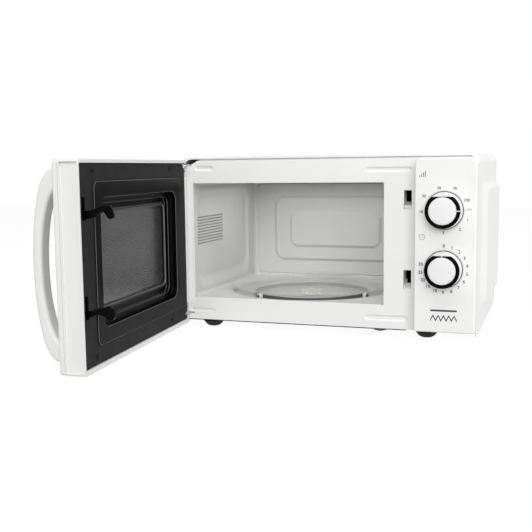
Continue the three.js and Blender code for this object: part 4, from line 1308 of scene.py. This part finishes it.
def return_spring():
    """The coil spring that pulls the latch bar down."""
    low, high = limits("latch_spring", DOOR)[2]
    centre = middle("latch_spring", DOOR)
    turns, steps_a_turn = 6, 24
    wire = [(2.6 + u, 0, v) for u, v in arc((0, 0), 0.5, 0, 315, 7)]
    piece = chain("return_spring", wire, closed=True)
    bpy.ops.mesh.edge_face_add()
    stop_edit()
    rise, steps = (high - low - 1) / turns, steps_a_turn * turns
    apply_modifier(piece, "SCREW", angle=2 * math.pi * turns, screw_offset=rise * turns, steps=steps,
                   render_steps=steps, use_normal_calculate=True, use_merge_vertices=False)
    start_edit(piece, "EDGE")
    bpy.ops.mesh.select_non_manifold()
    bpy.ops.mesh.edge_face_add()
    stop_edit()
    merge_doubles(piece, 0.002)
    piece.location = (centre.x, centre.y, low + 0.5)
    put_down(piece)
    door_piece(piece, "bright_steel", "latch_spring")


def panel_screw(corner):
    """A black pan-head screw with a cross recess."""
    node = f"door_screw_{corner}"
    centre = middle(node, DOOR)
    piece = turned(f"{corner}_screw", [
        (0, 2), (1.2, 1.95), (2.3, 1.6), (3, 1.05), (3.3, 0.3), (1.4, 0.3), (1.4, -6.4), (0.9, -7), (0, -7)],
        (centre.x, 0, centre.z), "y", 24)
    for wide, tall in ((1.7, 0.3), (0.3, 1.7)):
        carve(piece, block("drive", around(centre.x, wide), (1.1, 3), around(centre.z, tall)))
    door_piece(piece, "black_paint", node)


# ---------------------------------------------------------------- turntable

# The first roller's angle round the hub, the rollers' size and place, and the underside of the glass.
ROLLER_START = math.radians(108)
ROLLER_RADIUS = 5.8
ROLLER_REACH = 98
ROLLER_AXIS = WELL_FLOOR + ROLLER_RADIUS
PLATE_BOTTOM = ROLLER_AXIS + ROLLER_RADIUS + 0.3


def roller_turn(number):
    """How far round the hub a roller stands."""
    return ROLLER_START + 2 * math.pi * (number - 1) / 3


def three_round_hub(piece, extra=0):
    """Three copies of a piece, turned to the three rollers, in place of the one given."""
    about = (*hub_place(), 0)
    turns = [roller_turn(number) + extra for number in (1, 2, 3)]
    copies = [copy_of(piece, piece.name, turn=turn, about=about) for turn in turns]
    bpy.data.objects.remove(piece)
    return copies


def glass_plate():
    """The pressed glass plate: a flat middle, a curved rim, raised rings and lugs under it."""
    bottom, top, rim = PLATE_BOTTOM, PLATE_BOTTOM + 3.6, PLATE_BOTTOM + 10.5
    x, y = hub_place()
    profile = [
        (0, bottom + 0.9), (4, bottom + 0.6), (7, bottom), (84, bottom), (85.6, bottom + 0.5),
        (87.6, bottom + 0.5), (89, bottom), (106, bottom), (110, bottom + 0.6), (114, bottom + 1.8),
        (120, bottom + 3.6), (126, bottom + 5.5), (129.6, bottom + 6.7), (131.6, bottom + 7.7),
        (132.4, bottom + 8.9), *arc((131.2, rim - 1.3), 1.25, 0, 180, 6), (128.2, rim - 1.5),
        (124, rim - 2.6), (118, top + 2.6), (112, top + 1.4), (106, top + 0.6), (96, top), (89.5, top),
        (88.4, top + 0.7), (86.6, top + 0.7), (85.4, top), (30, top), (28.6, top + 0.5), (27.2, top),
        (12, top), (10.6, top + 0.5), (9.2, top), (0, top)]
    piece = turned("glass_plate", profile, (x, y, 0), "z", 128)
    lug = slab("lug", (x + 8, x + 18), around(y, 2), (28.6, bottom + 1), 1.9, axis="z")
    fuse(piece, combine("lugs", *three_round_hub(lug, math.pi)))
    finish(piece, CABINET, "turntable", "clear_glass", "turntable_plate", angle=40, look="plate_glass")


def drive_hub():
    """The drive hub with three lobes under the glass."""
    x, y = hub_place()
    low, high = limits("turntable_coupler")[2]
    piece = turned("drive_hub", [
        (0, WELL_FLOOR + 5.4), (9, WELL_FLOOR + 5.2), (11.4, WELL_FLOOR + 4.6), (12, WELL_FLOOR + 3.8),
        (12, WELL_FLOOR + 2), (4.5, WELL_FLOOR + 2), (4.5, low), (0, low)], (x, y, 0), "z", 40)
    lobe = slab("lobe", (x + 6, x + 20), around(y, 4), (WELL_FLOOR + 3.5, high), [0, 3.5, 3.5, 0], axis="z")
    fuse(piece, *three_round_hub(lobe))
    soften(piece, 0.5, 2, 40)
    finish(piece, CABINET, "turntable", "ceramic", "turntable_coupler")


def carrier_ring():
    """The roller carrier: a channelled ring with a stub axle for each roller."""
    x, y = hub_place()
    low, high = around(ROLLER_AXIS, 2.75)
    piece = turned("carrier_ring", [
        (88, low + 0.5), (88.5, low), (93, low), (93.5, low + 0.5), (93.5, high - 0.5), (93, high),
        (91.8, high), (91.6, high - 1), (89.9, high - 1), (89.7, high), (88.5, high), (88, high - 0.5),
        (88, low + 0.5)], (x, y, 0), "z", 128)
    axle = drum("axle", "x", (y, ROLLER_AXIS), (x + 92.5, x + 102.5), 1.8, 20)
    fuse(piece, *three_round_hub(axle))
    finish(piece, CABINET, "roller_ring", "dark_plastic", "roller_ring", look="ring_plastic")


def rollers():
    """Three small wheels, each with a rounded tread and a dark bush."""
    x, y = hub_place()
    place = (x + ROLLER_REACH, y, ROLLER_AXIS)
    edge = 5.65
    wheel = turned("wheel", [
        (2.9, -2.4), (3.8, -2.9), (edge - 0.7, -3), (edge, -2.2), (edge, 2.2), (edge - 0.7, 3),
        (3.8, 2.9), (2.9, 2.4), (2.9, -2.4)], place, "x", 40)
    bush = turned("bush", [(2.2, -2.7), (2.8, -2.7), (2.8, 2.7), (2.2, 2.7), (2.2, -2.7)], place, "x", 24)
    for number in (1, 2, 3):
        turn = roller_turn(number)
        tyre = copy_of(wheel, f"roller_tyre_{number}", turn=turn, about=(x, y, 0))
        core = copy_of(bush, f"roller_bush_{number}", turn=turn, about=(x, y, 0))
        finish(tyre, CABINET, f"roller_{number}", "white_plastic", f"roller_wheel_{number}")
        finish(core, CABINET, f"roller_{number}", "dark_plastic")
    for original in (wheel, bush):
        bpy.data.objects.remove(original)


# ---------------------------------------------------------------- inside the cabinet

REFINED = {
    "timer_unit": "ceramic", "power_selector": "dark_plastic", "timer_bell": "bright_steel",
    "door_switch_upper": "black_plastic", "door_switch_lower": "black_plastic",
    "waveguide": "zinc_steel", "waveguide_cover": "mica", "magnetron": "zinc_steel",
    "transformer_core": "core_steel", "transformer_coils": "copper", "capacitor": "aluminium",
    "hv_diode": "black_plastic", "fan_shroud": "dark_plastic", "fan_motor": "core_steel",
    "cooling_fan": "dark_plastic", "grill_reflector": "bright_steel", "grill_tube_front": "heater_glass",
    "grill_tube_rear": "heater_glass", "cavity_lamp": "clear_glass", "filter_board": "circuit_board",
    "turntable_motor": "zinc_steel", "timer_shaft": "bright_steel", "power_shaft": "bright_steel",
}


# ---------------------------------------------------------------- studio

# How the camera is turned, its place on the cabinet bench, and its lens in millimetres.
YAW, PITCH, ROLL = math.radians(19.45), math.radians(6.74), math.radians(-0.68)
CAMERA_AT = (552.84, -1182.96, 233.45)
LENS, SENSOR = 56.53, 36


def plain_view():
    bpy.context.scene.view_settings.view_transform = "Standard"


def camera():
    """A long lens low in front of the oven, to the right of it."""
    data = bpy.data.cameras.new("camera")
    data.lens = LENS
    data.sensor_width = SENSOR
    data.clip_start = 0.01
    data.clip_end = 100
    viewer = bpy.data.objects.new("camera", data)
    bpy.context.scene.collection.objects.link(viewer)
    ahead = Vector((-math.sin(YAW) * math.cos(PITCH), math.cos(YAW) * math.cos(PITCH), -math.sin(PITCH)))
    right = Vector((math.cos(YAW), math.sin(YAW), 0))
    up = right.cross(ahead)
    tilted_right = right * math.cos(ROLL) + up * math.sin(ROLL)
    tilted_up = up * math.cos(ROLL) - right * math.sin(ROLL)
    turn = Matrix((tilted_right, tilted_up, -ahead)).transposed().to_4x4()
    viewer.matrix_world = Matrix.Translation(CABINET @ Vector(CAMERA_AT)) @ turn
    bpy.context.scene.camera = viewer


def seen_directly(nodes, links):
    """1 for a ray from the camera, or one that a gloss or a glass sends on."""
    path = nodes.new("ShaderNodeLightPath")
    total = path.outputs["Is Camera Ray"]
    for kind in ("Is Glossy Ray", "Is Transmission Ray"):
        add = nodes.new("ShaderNodeMath")
        add.operation = "MAXIMUM"
        links.new(total, add.inputs[0])
        links.new(path.outputs[kind], add.inputs[1])
        total = add.outputs["Value"]
    return total


def empty_nodes(owner):
    """Switches on an owner's node tree and clears it."""
    owner.use_nodes = True
    owner.node_tree.nodes.clear()
    return owner.node_tree.nodes, owner.node_tree.links


def mixed(nodes, links, first, second, output_kind):
    """Mixes two shaders into a new output, and returns the mix's factor."""
    mix, output = nodes.new("ShaderNodeMixShader"), nodes.new(output_kind)
    links.new(first.outputs[0], mix.inputs[1])
    links.new(second.outputs[0], mix.inputs[2])
    links.new(mix.outputs[0], output.inputs["Surface"])
    return mix.inputs[0]


def surroundings():
    """A white room to the eye, and an even pale light on the object."""
    world = bpy.data.worlds.new("studio")
    bpy.context.scene.world = world
    nodes, links = empty_nodes(world)
    ambient, white = nodes.new("ShaderNodeBackground"), nodes.new("ShaderNodeBackground")
    set_inputs(ambient, {"Color": (1, 1, 1, 1), "Strength": 0.3})
    set_inputs(white, {"Color": (1, 1, 1, 1), "Strength": 1.0})
    factor = mixed(nodes, links, ambient, white, "ShaderNodeOutputWorld")
    links.new(seen_directly(nodes, links), factor)


def floor():
    """A plain pale floor, white to the camera but for a soft shadow."""
    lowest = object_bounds()[0][2]
    ground = added("floor", bpy.ops.mesh.primitive_plane_add, size=8, location=(0, 0, lowest - 0.0002))
    material = bpy.data.materials.new("floor")
    nodes, links = empty_nodes(material)
    matt, glow = nodes.new("ShaderNodeBsdfDiffuse"), nodes.new("ShaderNodeEmission")
    set_inputs(matt, {"Color": (0.86, 0.86, 0.86, 1)})
    strength = nodes.new("ShaderNodeMapRange")
    set_inputs(strength, {"To Min": 0.5, "To Max": 1.05})
    links.new(seen_directly(nodes, links), strength.inputs["Value"])
    links.new(strength.outputs["Result"], glow.inputs["Strength"])
    mixed(nodes, links, matt, glow, "ShaderNodeOutputMaterial").default_value = 0.9
    ground.data.materials.append(material)
    ground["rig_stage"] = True


def softbox(name, place, target, size, power):
    """An area light that faces its target; its size is in metres and its power in watts."""
    data = bpy.data.lights.new(name, "AREA")
    data.shape = "RECTANGLE"
    data.size, data.size_y = size
    data.energy = power
    lamp = bpy.data.objects.new(name, data)
    bpy.context.scene.collection.objects.link(lamp)
    lamp.location = place
    lamp.rotation_euler = (Vector(target) - Vector(place)).to_track_quat("-Z", "Y").to_euler()
    return lamp


def cavity_light():
    """A weak soft light under the cavity's ceiling, in place of the oven's own lamp."""
    centre = CABINET @ Vector((166, 130, 204))
    lamp = softbox("cavity", centre, centre - Vector((0, 0, 1)), (0.25, 0.2), 0.23)
    lamp.visible_camera = False
    lamp.visible_glossy = False
    lamp.visible_transmission = False


def lights():
    """Three large soft boxes: overhead, far in front and to the right."""
    softbox("overhead", (0.2, -1.1, 2.2), (0, 0, 0.1), (1.6, 1.2), 17)
    softbox("front", (1.4, -5.0, 1.9), (0, 0, 0.13), (3.6, 2.6), 164)
    softbox("right", (2.4, -0.3, 0.9), (0, 0, 0.12), (1.2, 1.2), 24)


# ---------------------------------------------------------------- making everything

plain_view()
camera()
for make in (case_wrap, front_plate, oven_liner, vent_duct, underside, back_sheet, back_screws, grommet,
             feet, front_panel, panel_print):
    make()
for dial in ("timer", "power"):
    knob(dial)
latch_carrier()
hinge("hinge_upper", "upper_hinge", TONGUES[1], (222, 237))
hinge("hinge_lower", "lower_hinge", TONGUES[0], (9, 25))
for make in (door_ring, door_cover, window_glass, inner_frame, choke_moulding, microwave_screen,
             inner_film, bow_handle, hooked_bar, latch_guides, return_spring):
    make()
for corner in DOOR_SCREWS:
    panel_screw(corner)
for make in (glass_plate, drive_hub, carrier_ring, rollers):
    make()
for node, slot in REFINED.items():
    refine(node, slot)
for make in (surroundings, lights, cavity_light, floor):
    make()

bpy.context.view_layer.update()
